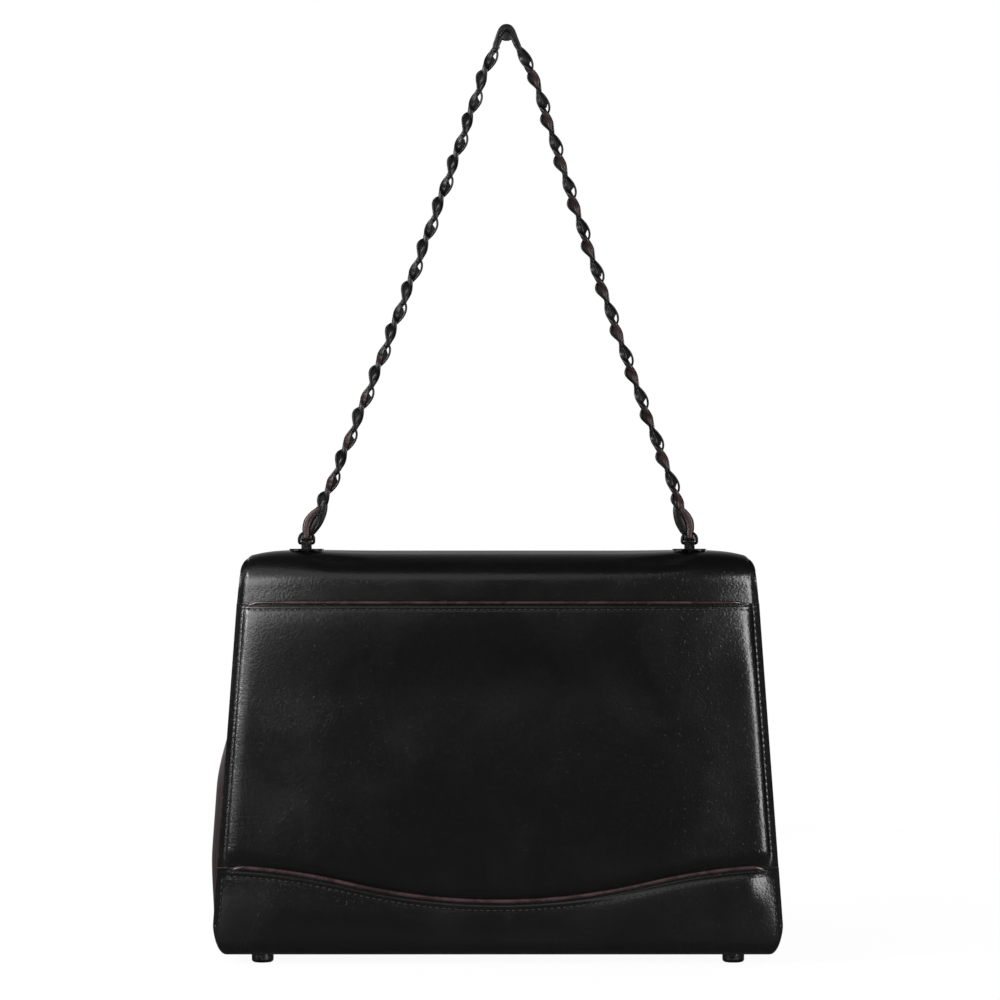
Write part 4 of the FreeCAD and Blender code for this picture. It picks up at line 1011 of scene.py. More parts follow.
def back_profile():
    """Outer line of the back wall, over the shoulder and along the top, from low to the flap's middle."""
    wall_z = spread([BACK_LOW, POCKET_EDGE, SHOULDER_START], [6, 6])
    wall = np.stack([wall_y(-1, BACK_INSET, wall_z), wall_z], axis=1)
    start_y = wall_y(-1, BACK_INSET, SHOULDER_START)
    angle = np.linspace(0, math.pi / 2, 26)[1:]
    power = 2 / SHOULDER_POWER
    shoulder = np.stack([
        SHOULDER_END_Y + (start_y - SHOULDER_END_Y) * np.cos(angle).clip(0) ** power,
        SHOULDER_START + (TOP - SHOULDER_START) * np.sin(angle) ** power,
    ], axis=1)
    top_y = spread([SHOULDER_END_Y, -HINGE_SPREAD, HINGE_SPREAD, FLAP_JOIN_Y], [5, 12, 5])[1:]
    top = np.stack([top_y, np.full_like(top_y, TOP)], axis=1)
    return np.concatenate([wall, shoulder, top])


def lift_rolled_sides(grid, from_side):
    """Let the top of a grid of points roll down towards the sides."""
    share = np.clip((grid[..., 2] - POCKET_EDGE - 1) / (TOP - POCKET_EDGE - 1), 0, 1)
    grid[..., 2] -= top_drop(from_side) * share
    return grid


def panel_grid(profile, width_at, puff):
    """Grid of points: a profile of (y, z) carried across the bag, puffed along its own outward side."""
    rows = []
    ahead = np.gradient(profile, axis=0)
    ahead /= np.linalg.norm(ahead, axis=1, keepdims=True)
    for (y, z), (dy, dz) in zip(profile, ahead):
        x = columns(width_at(y, z))
        rise = puff(x, np.full_like(x, z))
        rows.append(np.stack([x, y - dz * rise, z + dy * rise], axis=1))
    return np.array(rows)


def back_half(y, z):
    """Half width of the back and top hide at a point of its outline."""
    return float(half_width(min(z, TOP_ROLL_START)) - TOP_NARROW * smooth(*TOP_NARROW_RANGE, y))


def bend_at_hinge(piece):
    """Bake a piece's transform into its mesh."""
    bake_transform(piece)


def make_back_leather(finish):
    """Back wall and top in one hide."""
    grid = panel_grid(back_profile(), back_half, back_puff)
    from_side = half_width(np.minimum(grid[..., 2], TOP_ROLL_START)) - np.abs(grid[..., 0])
    grid = lift_rolled_sides(grid, from_side)
    high = smooth(*TOP_DIP_UP, grid[..., 2])
    behind = smooth(*CREASE_BEHIND, grid[..., 1])
    crease = anchor_crease(grid[..., 0], TOP - top_drop(from_side) - grid[..., 2]) * behind
    grid[..., 2] -= top_dip(grid[..., 0], grid[..., 1]) * high + crease
    piece = shell("back_leather", grid, BACK_LEATHER, finish.calf)
    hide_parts("back_panel")
    bend_at_hinge(piece)
    return shoulder_seams(grid, from_side)


def shoulder_seams(grid, from_side):
    """Stitch lines from the pocket's edge up over the shoulder, near both sides of the back."""
    middle = grid.shape[1] // 2
    left = int(np.argmin(np.abs(from_side[0, :middle] - SEAM_INSET)))
    rows = []
    for column in (left, grid.shape[1] - 1 - left):
        line = grid[:, column]
        for low, high, out in SHOULDER_ROWS:
            inside = (line[:, 2] >= low) & (line[:, 2] <= high) & (line[:, 1] < SHOULDER_END_Y)
            rows.append((line[inside], out))
    return rows


def wall_grid(side, inset, low, high, puff, shares):
    """Grid of one wall between two edges that may change along the bag; side is -1 behind and 1 in front."""
    rows = []
    for share in shares:
        def height_at(x):
            return low(x) + (high(x) - low(x)) * share

        x, z = fitted_columns(half_width(GRID_LEVEL), height_at, half_width)
        rows.append(on_wall(side, inset, puff, x, z))
    return np.array(rows)


def level(height):
    return lambda x: np.full_like(np.asarray(x, float), height)


def panel_foot(x):
    """Lower edge of a wall panel, tucked in behind the base band."""
    return band_edge(x) - PANEL_TUCK


def make_pocket(finish):
    shares = spread([0.0, 0.25, 0.9, 0.965, 1.0], [26, 46, 12, 16])
    grid = wall_grid(-1, POCKET_INSET, panel_foot, level(POCKET_EDGE), pocket_puff, shares)
    leather = shell("pocket_leather", grid, POCKET_LEATHER, finish.calf)
    dress(leather, "bag_body", "black_leather", "back_pocket_panel")
    out, up = POCKET_PIPING_SHIFT
    reach, inward, down = POCKET_PIPING_DIVE
    x = np.linspace(-1, 1, 121) * (half_width(POCKET_EDGE) - EDGE_END)
    ends = smooth(EDGE_END + reach, EDGE_END, half_width(POCKET_EDGE) - np.abs(x))
    line = on_wall(-1, POCKET_INSET - out, pocket_puff, x, np.full_like(x, POCKET_EDGE))
    line[:, 1] += inward * ends
    line[:, 2] += up - down * ends
    dress(tube("pocket_edge", line, POCKET_PIPING, finish.edge), "bag_body", "burgundy_edge", "pocket_piping")


def make_base_band(finish):
    """Band from its front edge down, under the base and up to its back edge."""
    wall = spread([0.0, 0.22, 1.0], [16, 18])
    fold = np.linspace(0, math.pi / 2, 12)[1:]
    fold_top = FLOOR_GAP + BAND_FOLD_RADIUS

    def row(z_of, y_of):
        x, z = fitted_columns(half_width(CORNER_TOP), z_of, lambda z: half_width(np.maximum(z, CORNER_TOP)))
        return np.stack([x, y_of(x, z), z], axis=1)

    def wall_row(side, share):
        def y_of(x, z):
            return wall_y(side, BAND_INSET, z) + side * band_puff(x, z)
        return row(lambda x: band_edge(x) + (fold_top - band_edge(x)) * share, y_of)

    def level_row(y, z):
        return row(level(z), lambda x, _: np.full_like(x, y))

    def fold_row(side, angle):
        inset = BAND_INSET + BAND_FOLD_RADIUS * (1 - math.cos(angle))
        return level_row(wall_y(side, inset, fold_top), fold_top - BAND_FOLD_RADIUS * math.sin(angle))

    front_y, back_y = (wall_y(side, BAND_INSET + BAND_FOLD_RADIUS, fold_top) for side in (1, -1))
    rows = [wall_row(1, share) for share in wall]
    rows += [fold_row(1, angle) for angle in fold]
    rows += [level_row(y, FLOOR_GAP) for y in np.linspace(front_y, back_y, 24)[1:-1]]
    rows += [fold_row(-1, angle) for angle in fold[::-1]]
    rows += [wall_row(-1, share) for share in wall[::-1]]
    grid = np.array(rows)
    from_side = half_width(np.maximum(grid[..., 2], CORNER_TOP)) - np.abs(grid[..., 0])
    share = np.clip((CORNER_TOP - grid[..., 2]) / BASE_ROUNDING, 0, 1)
    grid[..., 2] += base_raise(from_side) * share
    leather = shell("base_band_leather", grid, BAND_LEATHER, finish.calf)
    dress(leather, "bag_body", "black_leather", "base_band")
    make_band_edges(finish)


def make_band_edges(finish):
    out, up = BAND_PIPING_SHIFT
    reach, inward, down = BAND_PIPING_DIVE
    half = half_width(BAND_PIPING_LEVEL)
    x = np.linspace(-1, 1, 181) * (half - EDGE_END)
    ends = smooth(EDGE_END + reach, EDGE_END, half - np.abs(x))
    z = band_edge(x) + up - down * ends
    for side, place in ((-1, "back"), (1, "front")):
        line = np.stack([x, wall_y(side, BAND_INSET - out + inward * ends, z), z], axis=1)
        edge = tube(f"base_edge_{place}", line, BAND_PIPING, finish.edge)
        dress(edge, "bag_body", "burgundy_edge", f"base_piping_{place}")


def make_front(finish):
    shares = spread([0.0, 0.4, 1.0], [24, 26])
    grid = wall_grid(1, FRONT_INSET, panel_foot, level(MOUTH_EDGE), front_puff, shares)
    leather = shell("front_leather", grid[::-1], FRONT_LEATHER, finish.calf)
    dress(leather, "bag_body", "black_leather", "front_panel")
    out, up = MOUTH_BINDING_SHIFT
    x = np.linspace(-1, 1, 121) * (half_width(MOUTH_EDGE) - MOUTH_BINDING_SHORT)
    y, z = wall_y(1, FRONT_INSET - out, MOUTH_EDGE), MOUTH_EDGE + up
    line = np.stack([x, np.full_like(x, y), np.full_like(x, z)], axis=1)
    points, faces, uv = sweep(line, oval(*MOUTH_BINDING_SIZE, 16), (0, 0, 1))
    edge = add_piece("mouth_edge", points, faces, finish.calf, uv)
    dress(edge, "bag_body", "black_leather", "mouth_binding")


def gusset_bulge(side, z):
    """How far a side wall stands out at mid depth: soft and full low down, drawn in near the top."""
    most = LEFT_BULGE if side < 0 else RIGHT_BULGE
    low = (BULGE_LOW_SHARE + (1 - BULGE_LOW_SHARE) * smooth(*BULGE_FILL, z)) * smooth(*BULGE_START, z)
    return most * low * (1 - smooth(*BULGE_END, z)) - DRAWN_IN * smooth(*DRAWN_IN_RANGE, z)


def gusset_section(side, z):
    """One level of a side wall: a sewn lip at each panel, and a soft wall between them."""
    back, front = (wall_y(end, inset, z) for end, inset in zip((-1, 1), GUSSET_INSETS))
    depth = np.linspace(0, 1, 37)
    inner_y = back + (front - back) * depth
    lip = np.minimum(depth, 1 - depth) * (front - back)
    lean, rounding = BULGE_POWERS
    bulge = gusset_bulge(side, z) * np.sin(math.pi * depth ** lean) ** rounding
    free = smooth(*GUSSET_FREE_UP, z) * smooth(*GUSSET_FREE_ALONG, depth)
    corner = GUSSET_LIP * (1 - smooth(*GUSSET_LIP_RANGE, lip)) * (1 - free)
    wall = half_width(z) - GUSSET_SIDE - corner_inset(z) + bulge
    return np.stack([side * (wall + corner), inner_y, np.full_like(inner_y, z)], axis=1)


def make_gussets(finish):
    levels = spread(GUSSET_LEVELS, [8, 30, 24])
    for side, place in ((-1, "left"), (1, "right")):
        grid = np.array([gusset_section(side, z) for z in levels])
        if side < 0:
            grid = grid[:, ::-1]
        leather = shell(f"{place}_gusset_leather", grid, GUSSET_LEATHER, finish.side_calf)
        dress(leather, "bag_body", "black_leather", f"{place}_gusset")


# Flap

def flap_frame():
    tilt = math.atan(LEAN)
    out = np.array([0.0, math.cos(tilt), math.sin(tilt)])
    down = np.array([0.0, math.sin(tilt), -math.cos(tilt)])
    return np.array([0.0, FOLD_Y, FOLD_Z]), out, down


def flap_half_width(reach):
    """Half width of the flap's front at a reach below the fold, drawn in next to the fold."""
    drawn_in = half_width(FOLD_Z) - FLAP_SIDE_GAP - float(top_half(FOLD_Y))
    return half_width(FOLD_Z - reach) - FLAP_SIDE_GAP - drawn_in * (1 - smooth(0.0, FLAP_DRAWN_REACH, reach))


def flap_reach(x, drop, corner):
    """How far down the flap goes, with rounded lower corners."""
    side = flap_half_width(drop - corner)
    over = np.clip(np.abs(x) - (side - corner), 0, corner)
    return drop - (corner - np.sqrt(corner ** 2 - over ** 2))


def top_fall(x, y):
    """How far the top lies below its highest level, between the strap anchors and towards the sides."""
    return top_dip(x, y) + top_drop(half_width(TOP_ROLL_START) - np.abs(x))


def flap_grid(depth, drop, inset, puffed):
    """Flap from the middle of the top, over the fold and down the front, at a depth outside the fold line."""
    fold, out, down = flap_frame()
    line = [(y, FOLD_Z + depth) for y in np.linspace(FLAP_JOIN_Y, FOLD_Y, 7)[:-1]]
    for angle in np.linspace(0, math.pi / 2 - math.atan(LEAN), 12):
        line.append((FOLD_Y + depth * math.sin(angle), FOLD_Z + depth * math.cos(angle)))
    x = columns(float(top_half(FOLD_Y)) - inset)
    rows = [np.stack([x, np.full_like(x, y), z - top_fall(x, y)], axis=1) for y, z in line]

    def half(reach):
        return flap_half_width(reach) - inset

    def low_edge(x):
        return flap_reach(x, drop - inset, FLAP_CORNER - inset)

    for share in spread([0.0, 0.12, 0.55, 0.93, 1.0], [8, 18, 18, 12])[1:]:
        x, reach = fitted_columns(float(half(FLAP_GRID_REACH)), lambda x: low_edge(x) * share, half)
        from_edge = np.minimum(half(reach) - np.abs(x), low_edge(x) - reach)
        rise = flap_puff(from_edge) * smooth(*FLAP_SWELL_START, reach) if puffed else 0 * x
        rise = rise * (1 - smooth(*LOCK_FLAT, np.hypot(x, LOCK_FLAT_SQUEEZE * (reach - LOCK_DROP))))
        points = fold + out * (depth + rise)[:, None] + down * reach[:, None]
        points[:, 0] = x
        points[:, 2] -= top_fall(x, FOLD_Y) * (1 - smooth(*FLAP_SETTLE, reach))
        rows.append(points)
    return np.array(rows)


def cut_slot(piece):
    """Opening in the flap that lets the turn toggle through."""
    fold, out, down = flap_frame()
    corner = np.linspace(0, math.pi / 2, 6)
    half_x, half_z = (half - SLOT_ROUNDING for half in SLOT_HALF)
    ring = []
    for quarter, (sx, sz) in enumerate(((1, 1), (-1, 1), (-1, -1), (1, -1))):
        for angle in corner + quarter * math.pi / 2:
            across = sx * half_x + SLOT_ROUNDING * math.cos(angle)
            ring.append((across, sz * half_z + SLOT_ROUNDING * math.sin(angle)))
    center = fold + down * LOCK_DROP
    points = [center + out * depth - down * up + np.array([across, 0, 0])
              for depth in SLOT_CUT for across, up in ring]
    count = len(ring)
    faces = [list(range(count))[::-1], list(range(count, 2 * count))]
    faces += [[i, (i + 1) % count, (i + 1) % count + count, i + count] for i in range(count)]
    cutter = add_piece("slot_cutter", points, faces, piece.data.materials[0])
    work = bmesh.new()
    work.from_mesh(cutter.data)
    bmesh.ops.recalc_face_normals(work, faces=work.faces)
    work.to_mesh(cutter.data)
    work.free()
    modifier = piece.modifiers.new("slot", "BOOLEAN")
    modifier.operation = "DIFFERENCE"
    modifier.object = cutter
    modifier.solver = "EXACT"
    seen = piece.evaluated_get(bpy.context.evaluated_depsgraph_get())
    mesh = bpy.data.meshes.new_from_object(seen)
    piece.modifiers.clear()
    piece.data = mesh
    bpy.data.objects.remove(cutter)


def blend_fold(piece):
    """Bake a flap piece's transform into its mesh."""
    fold, out, _ = flap_frame()
    span = out + np.array([0, 0, 1.0])
    span /= np.linalg.norm(span)
    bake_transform(piece)


def make_flap(finish):
    outer = flap_grid(FLAP_THICK, FLAP_DROP, 0.0, True)
    piece = shell("flap_leather", outer, FLAP_LEATHER, finish.calf)
    cut_slot(piece)
    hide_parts("flap_top_panel", "flap_front_panel")
    blend_fold(piece)
    inner = flap_grid(FLAP_LINING_DEPTH, FLAP_DROP - FLAP_LINING_SHORT, FLAP_LINING_INSET, False)
    lining = shell("flap_lining_leather", inner, LINING_LEATHER, finish.lining)
    cut_slot(lining)
    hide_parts("flap_front_lining")
    blend_fold(lining)
    make_flap_edge(finish)


def flap_edge_line(inset, depth):
    """Line along the flap's side and lower edges, from one top end to the other."""
    fold, out, down = flap_frame()
    drop, corner = FLAP_DROP - inset, FLAP_CORNER - inset
    sides = np.linspace(FLAP_EDGE_START, drop - corner, 40)
    side_points = [(float(flap_half_width(reach)) - inset, reach) for reach in sides]
    turn = np.linspace(0, math.pi / 2, 20)[1:]
    low_half = float(flap_half_width(drop - corner)) - inset - corner
    corner_points = [(low_half + corner * math.cos(a), drop - corner + corner * math.sin(a)) for a in turn]
    right = side_points + corner_points
    bottom = [(x, drop) for x in np.linspace(low_half, -low_half, 60)[1:-1]]
    left = [(-x, reach) for x, reach in right[::-1]]
    line = right + bottom + left
    return np.array([fold + out * depth + down * reach + np.array([x, 0, 0]) for x, reach in line])


def make_flap_edge(finish):
    out = flap_frame()[1]
    points, faces, uv = sweep(flap_edge_line(-FLAP_EDGE_OVER, FLAP_THICK / 2), oval(*FLAP_EDGE_SIZE, 14), out)
    edge = add_piece("flap_edge", points, faces, finish.edge, uv)
    dress(edge, "flap_front", "burgundy_edge", "flap_edge_piping")
    row = flap_edge_line(FLAP_ROW, FLAP_THICK + FLAP_ROW_UP)
    stitches("flap_stitches", [(row, out)], finish.thread, "flap_front")


# Lining

def make_top_lining(finish):
    """Lining under the top, from the back wall to the middle of the flap's top."""
    x = np.linspace(-1, 1, 61) * (half_width(TOP_LINING_LEVEL) - TOP_LINING_INSET)
    drop = top_drop(half_width(TOP_ROLL_START) - np.abs(x)) * TOP_LINING_FALL
    rows = []
    for y, z in TOP_LINING_LINE[::-1]:
        rows.append(np.stack([x, np.full_like(x, y), z - drop * smooth(*TOP_LINING_FALL_RANGE, z)], axis=1))
    piece = shell("top_lining_leather", np.array(rows), TOP_LINING_LEATHER, finish.lining)
    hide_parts("flap_top_lining")
    bend_at_hinge(piece)


def rounded_loop(z, inset_back, inset_front, inset_side, count=120):
    """Points round the inside of the bag at one level, seen from above, turning left."""
    back, front = wall_y(-1, inset_back, z), wall_y(1, inset_front, z)
    side = half_width(z) - inset_side
    points = []
    corners = ((side, back, -90), (side, front, 0), (-side, front, 90), (-side, back, 180))
    for x, y, first in corners:
        cx = x - math.copysign(LINING_ROUNDING, x)
        cy = y - math.copysign(LINING_ROUNDING, y - MID_Y)
        for angle in np.radians(np.linspace(first, first + 90, 7)):
            points.append((cx + LINING_ROUNDING * math.cos(angle), cy + LINING_ROUNDING * math.sin(angle), z))
    loop = np.array(points + points[:1])
    length = run_length(loop)
    return points_at(np.linspace(0, length[-1], count, endpoint=False), length, loop)


def lining_loop(z, high):
    """Lining at one level, drawn in at the sides where the side walls are."""
    loop = rounded_loop(min(z, high), *LINING_INSETS)
    side = loop[:, 0] < 0
    drawn = np.where(side, gusset_bulge(-1, z), gusset_bulge(1, z)).clip(None, 0)
    start, end = (half_width(z) - inset for inset in LINING_DRAWN)
    loop[:, 0] += np.sign(loop[:, 0]) * drawn * smooth(start, end, np.abs(loop[:, 0]))
    return loop


def make_lining(finish):
    """Open tub of lining with a rounded floor."""
    floor = rounded_loop(LINING_FLOOR, *FLOOR_INSETS)
    middle = floor.mean(axis=0)
    rows = [middle + (floor - middle) * share for share in FLOOR_SHARES]
    for share in CURVE_SHARES:
        side = FLOOR_INSETS[2] - CURVE_IN * share
        rows.append(rounded_loop(LINING_FLOOR + CURVE_RISE * share, *CURVE_INSETS, side))
    wall_limit, top_limit = LINING_LIMITS
    rows += [lining_loop(z, wall_limit) for z in np.linspace(LINING_LOW, LINING_MOUTH, 26)]
    low = rounded_loop(LINING_MOUTH, *LINING_INSETS)
    lift = LINING_LIFT + LINING_BACK_LIFT * smooth(*LINING_LIFT_RANGE, low[:, 1])
    for share in np.linspace(0.15, 1.0, 8):
        loops = [lining_loop(LINING_MOUTH + rise, top_limit)[k] for k, rise in enumerate(lift * share)]
        rows.append(np.array(loops))
    grid = np.array(rows)
    levels, count = grid.shape[:2]
    normal = np.cross(np.roll(grid, -1, 1) - np.roll(grid, 1, 1), np.gradient(grid, axis=0))
    normal /= np.maximum(np.linalg.norm(normal, axis=2, keepdims=True), 1e-9)
    outside = (grid + normal * LINING_LEATHER).reshape(-1, 3)
    index = np.arange(levels * count).reshape(levels, count)
    ring = np.roll(index, -1, axis=1)
    quads = np.stack([index[:-1], index[1:], ring[1:], ring[:-1]], axis=-1).reshape(-1, 4)
    shift = levels * count
    faces = quads.tolist() + (quads[:, ::-1] + shift).tolist()
    faces += np.stack([index[-1], index[-1] + shift, ring[-1] + shift, ring[-1]], axis=-1).tolist()
    faces += [index[0].tolist(), (index[0][::-1] + shift).tolist()]
    piece = add_piece("lining_tub", np.concatenate([grid.reshape(-1, 3), outside]), faces, finish.lining)
    nodes = [f"lining_{part}" for part in ("back", "front", "left", "right", "base")]
    dress(piece, "bag_body", "lining_leather", *nodes)


def make_slip_pocket(finish):
    """Flat inner pocket on the back lining."""
    x = columns(SLIP_HALF, middle=40, edge=14, edge_reach=12.0)
    rows = []
    for share in spread([0.0, 0.1, 0.9, 1.0], [8, 20, 8]):
        z = np.full_like(x, SLIP_LOW + SLIP_HEIGHT * share)
        swell = SLIP_SWELL * smooth(*SLIP_SWELL_RANGE, np.minimum(SLIP_HALF - np.abs(x), z - SLIP_LOW))
        y = wall_y(-1, SLIP_INSET, z) + swell + SLIP_MOUTH * smooth(*SLIP_MOUTH_RANGE, share)
        rows.append(np.stack([x, y, z], axis=1))
    leather = shell("slip_pocket_leather", np.array(rows)[::-1], LINING_LEATHER, finish.lining)
    dress(leather, "bag_body", "lining_leather", "inner_slip_pocket")


# Stitched rows

def side_rows(face, inset, puff, end):
    """Lines up both sides of a wall panel, each with the line on the base band below it."""
    rows = []
    for side in (-1, 1):
        z = np.linspace(SIDE_ROW_START, end, 80)
        rows.append(on_wall(face, inset, puff, side * (half_width(z) - SEAM_INSET), z))
        z = np.linspace(*BAND_SIDE_ROW, 30)
        rows.append(on_wall(face, BAND_INSET, band_puff, side * (half_width(z) - SEAM_INSET), z))
    return rows


def make_body_stitches(finish, shoulder_rows):
    """Thread along the side seams, the pocket's edge and the base band's edge."""
    x = np.linspace(-1, 1, 161) * (half_width(POCKET_EDGE) - POCKET_ROW_END)
    pocket = on_wall(-1, POCKET_INSET, pocket_puff, x, np.full_like(x, POCKET_EDGE - POCKET_ROW))
    x = np.linspace(-1, 1, 181) * (half_width(BAND_ROW_LEVEL) - BAND_ROW_END)
    band = {face: on_wall(face, BAND_INSET, band_puff, x, band_edge(x) - BAND_ROW) for face in (-1, 1)}
    lines = side_rows(-1, POCKET_INSET, pocket_puff, POCKET_SIDE_ROW_END) + [pocket, band[-1]]
    rows = shoulder_rows + [(line, BACK_OUT) for line in lines]
    stitches("back_stitches", rows, finish.thread, "bag_body")
    lines = [band[1]] + side_rows(1, FRONT_INSET, front_puff, FRONT_SIDE_ROW_END)
    stitches("front_stitches", [(line, FRONT_OUT) for line in lines], finish.thread, "bag_body")


# Strap

class Strand:
    """One side of the strap: where its links cross, and which way is along and across."""

    def __init__(self, side):
        self.side = side
        start = np.array([side * STRAND_START_X, STRAP_Y, STRAND_START_Z])
        apex_end = np.array([APEX[0] + side * APEX_HALF, STRAP_Y, APEX[1]])
        heading = apex_end - start
        heading /= np.linalg.norm(heading)
        along_apex = heading - np.array([side, 0, 0])
        along_apex /= np.linalg.norm(along_apex)
        end = apex_end + along_apex * LINK_HOLD
        self.along = (end - start) / np.linalg.norm(end - start)
        self.across = np.array([self.along[2], 0.0, -self.along[0]])
        self.pitch = (np.linalg.norm(end - start) - LINK_HOLD) / LINKS_PER_STRAND
        self.start = start

    def place(self, link):
        """Point on the strand's middle line; whole numbers are the middles of links, from 0."""
        link = np.asarray(link, float)
        reach = LINK_HOLD / 2 + (link + 0.5) * self.pitch
        share = np.clip((link + 0.5) / LINKS_PER_STRAND, 0, 1)
        sway = STRAP_SWAY * smooth(*SWAY_START, share) * (1 - smooth(*SWAY_END, share))
        inward = STRAP_BOW * 4 * share * (1 - share) + APEX_DRAW * smooth(*APEX_DRAW_RANGE, share)
        place = self.start + reach[..., None] * self.along
        place[..., 0] += sway - self.side * inward
        return place

    def lobe(self, number):
        """Side that a link's belly stands out to: left on odd links, right on even ones."""
        return -1 if number % 2 else 1

    def belly(self, share, lobe):
        """How far a link's outer side stands out, by share from its front end (-1) to its rear end (1)."""
        front, rear = BELLY_LONG if lobe > 0 else BELLY_KNOT
        share = np.clip(share * self.lean(lobe), -1, 1)
        peak = (front - rear) / (front + rear)
        return BELLY_REACH * ((1 + share) / (1 + peak)) ** front * ((1 - share) / (1 - peak)) ** rear

    def lean(self, lobe):
        """Which end of a link is the fuller one."""
        return -1 if self.side < 0 and lobe > 0 else 1

    def link_parts(self, number):
        """Bent link whose long slanting side runs to the crossing in front of the lace."""
        lobe = self.lobe(number)
        half = (self.pitch + LINK_HOLD) / 2
        angle = np.linspace(0, 2 * math.pi, 48, endpoint=False)
        share = rounded(np.cos(angle), LINK_SQUARE)
        inner = -LINK_INNER * np.sqrt(np.clip(1 - share ** 2, 0, 1))
        full = LAST_LINK_SHARE if number == LINKS_PER_STRAND - 1 else 1.0
        side = np.where(np.sin(angle) >= 0, full * self.belly(share, lobe), inner)
        front = -LINK_TILT * share + LINK_TWIST * np.sin(angle)
        path = self.place(number) - (lobe * share * half)[:, None] * self.along
        path += (lobe * side)[:, None] * self.across
        path[:, 1] -= front
        return sweep(path, oval(LINK_WIRE, LINK_WIRE, 10), (0, -1, 0), closed=True)

    def loop_parts(self, number):
        """Black loop of lace that fills one half of a link."""
        lobe, half = self.lobe(number), (self.pitch + LINK_HOLD) / 2
        full = LOOP_FULL + LOOP_CHANGE * math.sin(number * 2.4 + self.side)
        low, high = LOOP_SPANS[self.side, lobe]
        share = np.linspace(low, high, 18)
        middle = (share - low) / (high - low)
        fade = np.ones_like(middle)
        if lobe > 0:
            fade = smooth(0, LOOP_FADE, 1 - middle if self.side > 0 else middle)
        outer = (self.belly(share, lobe) - LOOP_UNDER) * (1 - (1 - fade) * full) + LOOP_RIM
        line = self.place(number) - (lobe * share * half)[:, None] * self.along
        line[:, 1] += LOOP_BEHIND + LINK_TILT * share
        out = np.broadcast_to(lobe * self.across, line.shape)
        return ribbon(line, out, np.full_like(share, LOOP_INNER), outer, LOOP_THICK, 0)

    def lace_parts(self, first, last, steps=20):
        """Flat lace that turns once in two links, on the side away from each link's belly."""
        link = np.linspace(first, last, max(int((last - first) * steps), 8))
        turn = math.pi * (link - 1) - LACE_TURN_EASE * np.sin(2 * math.pi * (link - 1))
        out = np.cos(turn)[:, None] * self.across - np.sin(turn)[:, None] * np.array([0, 1.0, 0])
        thick = LACE_THICK + LACE_TURN_THICK * np.sin(turn) ** 2
        shown = np.where((self.side > 0) | (link < BURGUNDY_END), -self.side, 0)
        inner, outer = (np.full_like(link, edge) for edge in LACE_EDGES)
        return ribbon(self.place(link), out, inner, outer, thick, shown)

    def tongue_parts(self, link, shift, half, thick, shown):
        """One of the two folded ends of the lace above a ring, by link, sideways shift and half width."""
        fine = np.linspace(0, len(link) - 1, 30)
        link, shift, half = (np.interp(fine, np.arange(len(link)), row) for row in (link, shift, half))
        shift, half = soften(shift, 5), soften(half, 5)
        line = self.place(link) + self.across * (self.side * shift)[:, None]
        line[:, 1] -= 0.5 * thick * (1 if shown else -0.4)
        out = np.broadcast_to(self.across, line.shape)
        return ribbon(line, out, -half, half, np.full_like(half, thick), -1 if shown else 0)

    def end_parts(self):
        """Lace folded back through the ring: a burgundy lobe outside and a black run inside."""
        return [self.tongue_parts(*tongue) for tongue in (TONGUE_OUTER, TONGUE_INNER, TONGUE_WRAP)]


def soften(values, count):
    """Running mean over an odd number of values."""
    return np.convolve(np.pad(values, count // 2, "edge"), np.ones(count) / count, "valid")


def rounded(wave, power):
    """Sine or cosine wave with squarer or rounder turns."""
    return np.sign(wave) * np.abs(wave) ** power


def ribbon(line, out, inner, outer, thick, shown, count=20):
    """Points, faces and coordinates of a soft-edged strip; inner and outer are its edges along out.

    Shown says which face is burgundy: 1 or -1, or 0 for none.
    """
    tangent = np.gradient(line, axis=0)
    tangent /= np.linalg.norm(tangent, axis=1, keepdims=True)
    out = out - tangent * np.sum(out * tangent, axis=1, keepdims=True)
    out /= np.linalg.norm(out, axis=1, keepdims=True)
    face = np.cross(tangent, out)
    angle = np.linspace(0, 2 * math.pi, count, endpoint=False)
    across = rounded(np.cos(angle), RIBBON_ROUNDING[0])
    depth = rounded(np.sin(angle), RIBBON_ROUNDING[1]) / 2
    place = ((inner + outer) / 2)[:, None] + ((outer - inner) / 2)[:, None] * across
    cup = RIBBON_CUP * (across ** 2 - 0.5)
    height = np.broadcast_to(thick, len(line))[:, None] * depth + cup
    rings = line[:, None] + out[:, None] * place[..., None] + face[:, None] * height[..., None]
    rows = len(line)
    index = np.arange(rows * count).reshape(rows, count)
    low, high = index[:-1], index[1:]
    faces = np.stack([low, np.roll(low, -1, 1), np.roll(high, -1, 1), high], axis=-1).reshape(-1, 4).tolist()
    faces += [index[0, ::-1].tolist(), index[-1].tolist()]
    shown = np.broadcast_to(shown, rows)[:, None]
    tone = np.where(depth * shown > 0, 0.5 + (across + 1) / 4, (1 - across) / 4) * abs(shown)
    uv = np.stack(np.broadcast_arrays(run_length(line)[:, None], tone), axis=-1).reshape(-1, 2)
    return rings.reshape(-1, 3), faces, uv


def apex_link_parts():
    """Link at the strap's highest point, bent over inside the folded lace."""
    angle = np.linspace(0, 2 * math.pi, 40, endpoint=False)
    reach = np.cos(angle)
    path = np.stack([
        APEX[0] + APEX_HALF * APEX_LINK_SHARE * reach,
        STRAP_Y - APEX_LINK_DEPTH * np.sin(angle),
        APEX[1] - APEX_LINK_DROP - APEX_LINK_BEND * reach ** 2 + APEX_LINK_TILT * np.sin(angle),
    ], axis=1)
    return sweep(path, oval(LINK_WIRE, LINK_WIRE, 10), (0, -0.8, 0.6), closed=True)


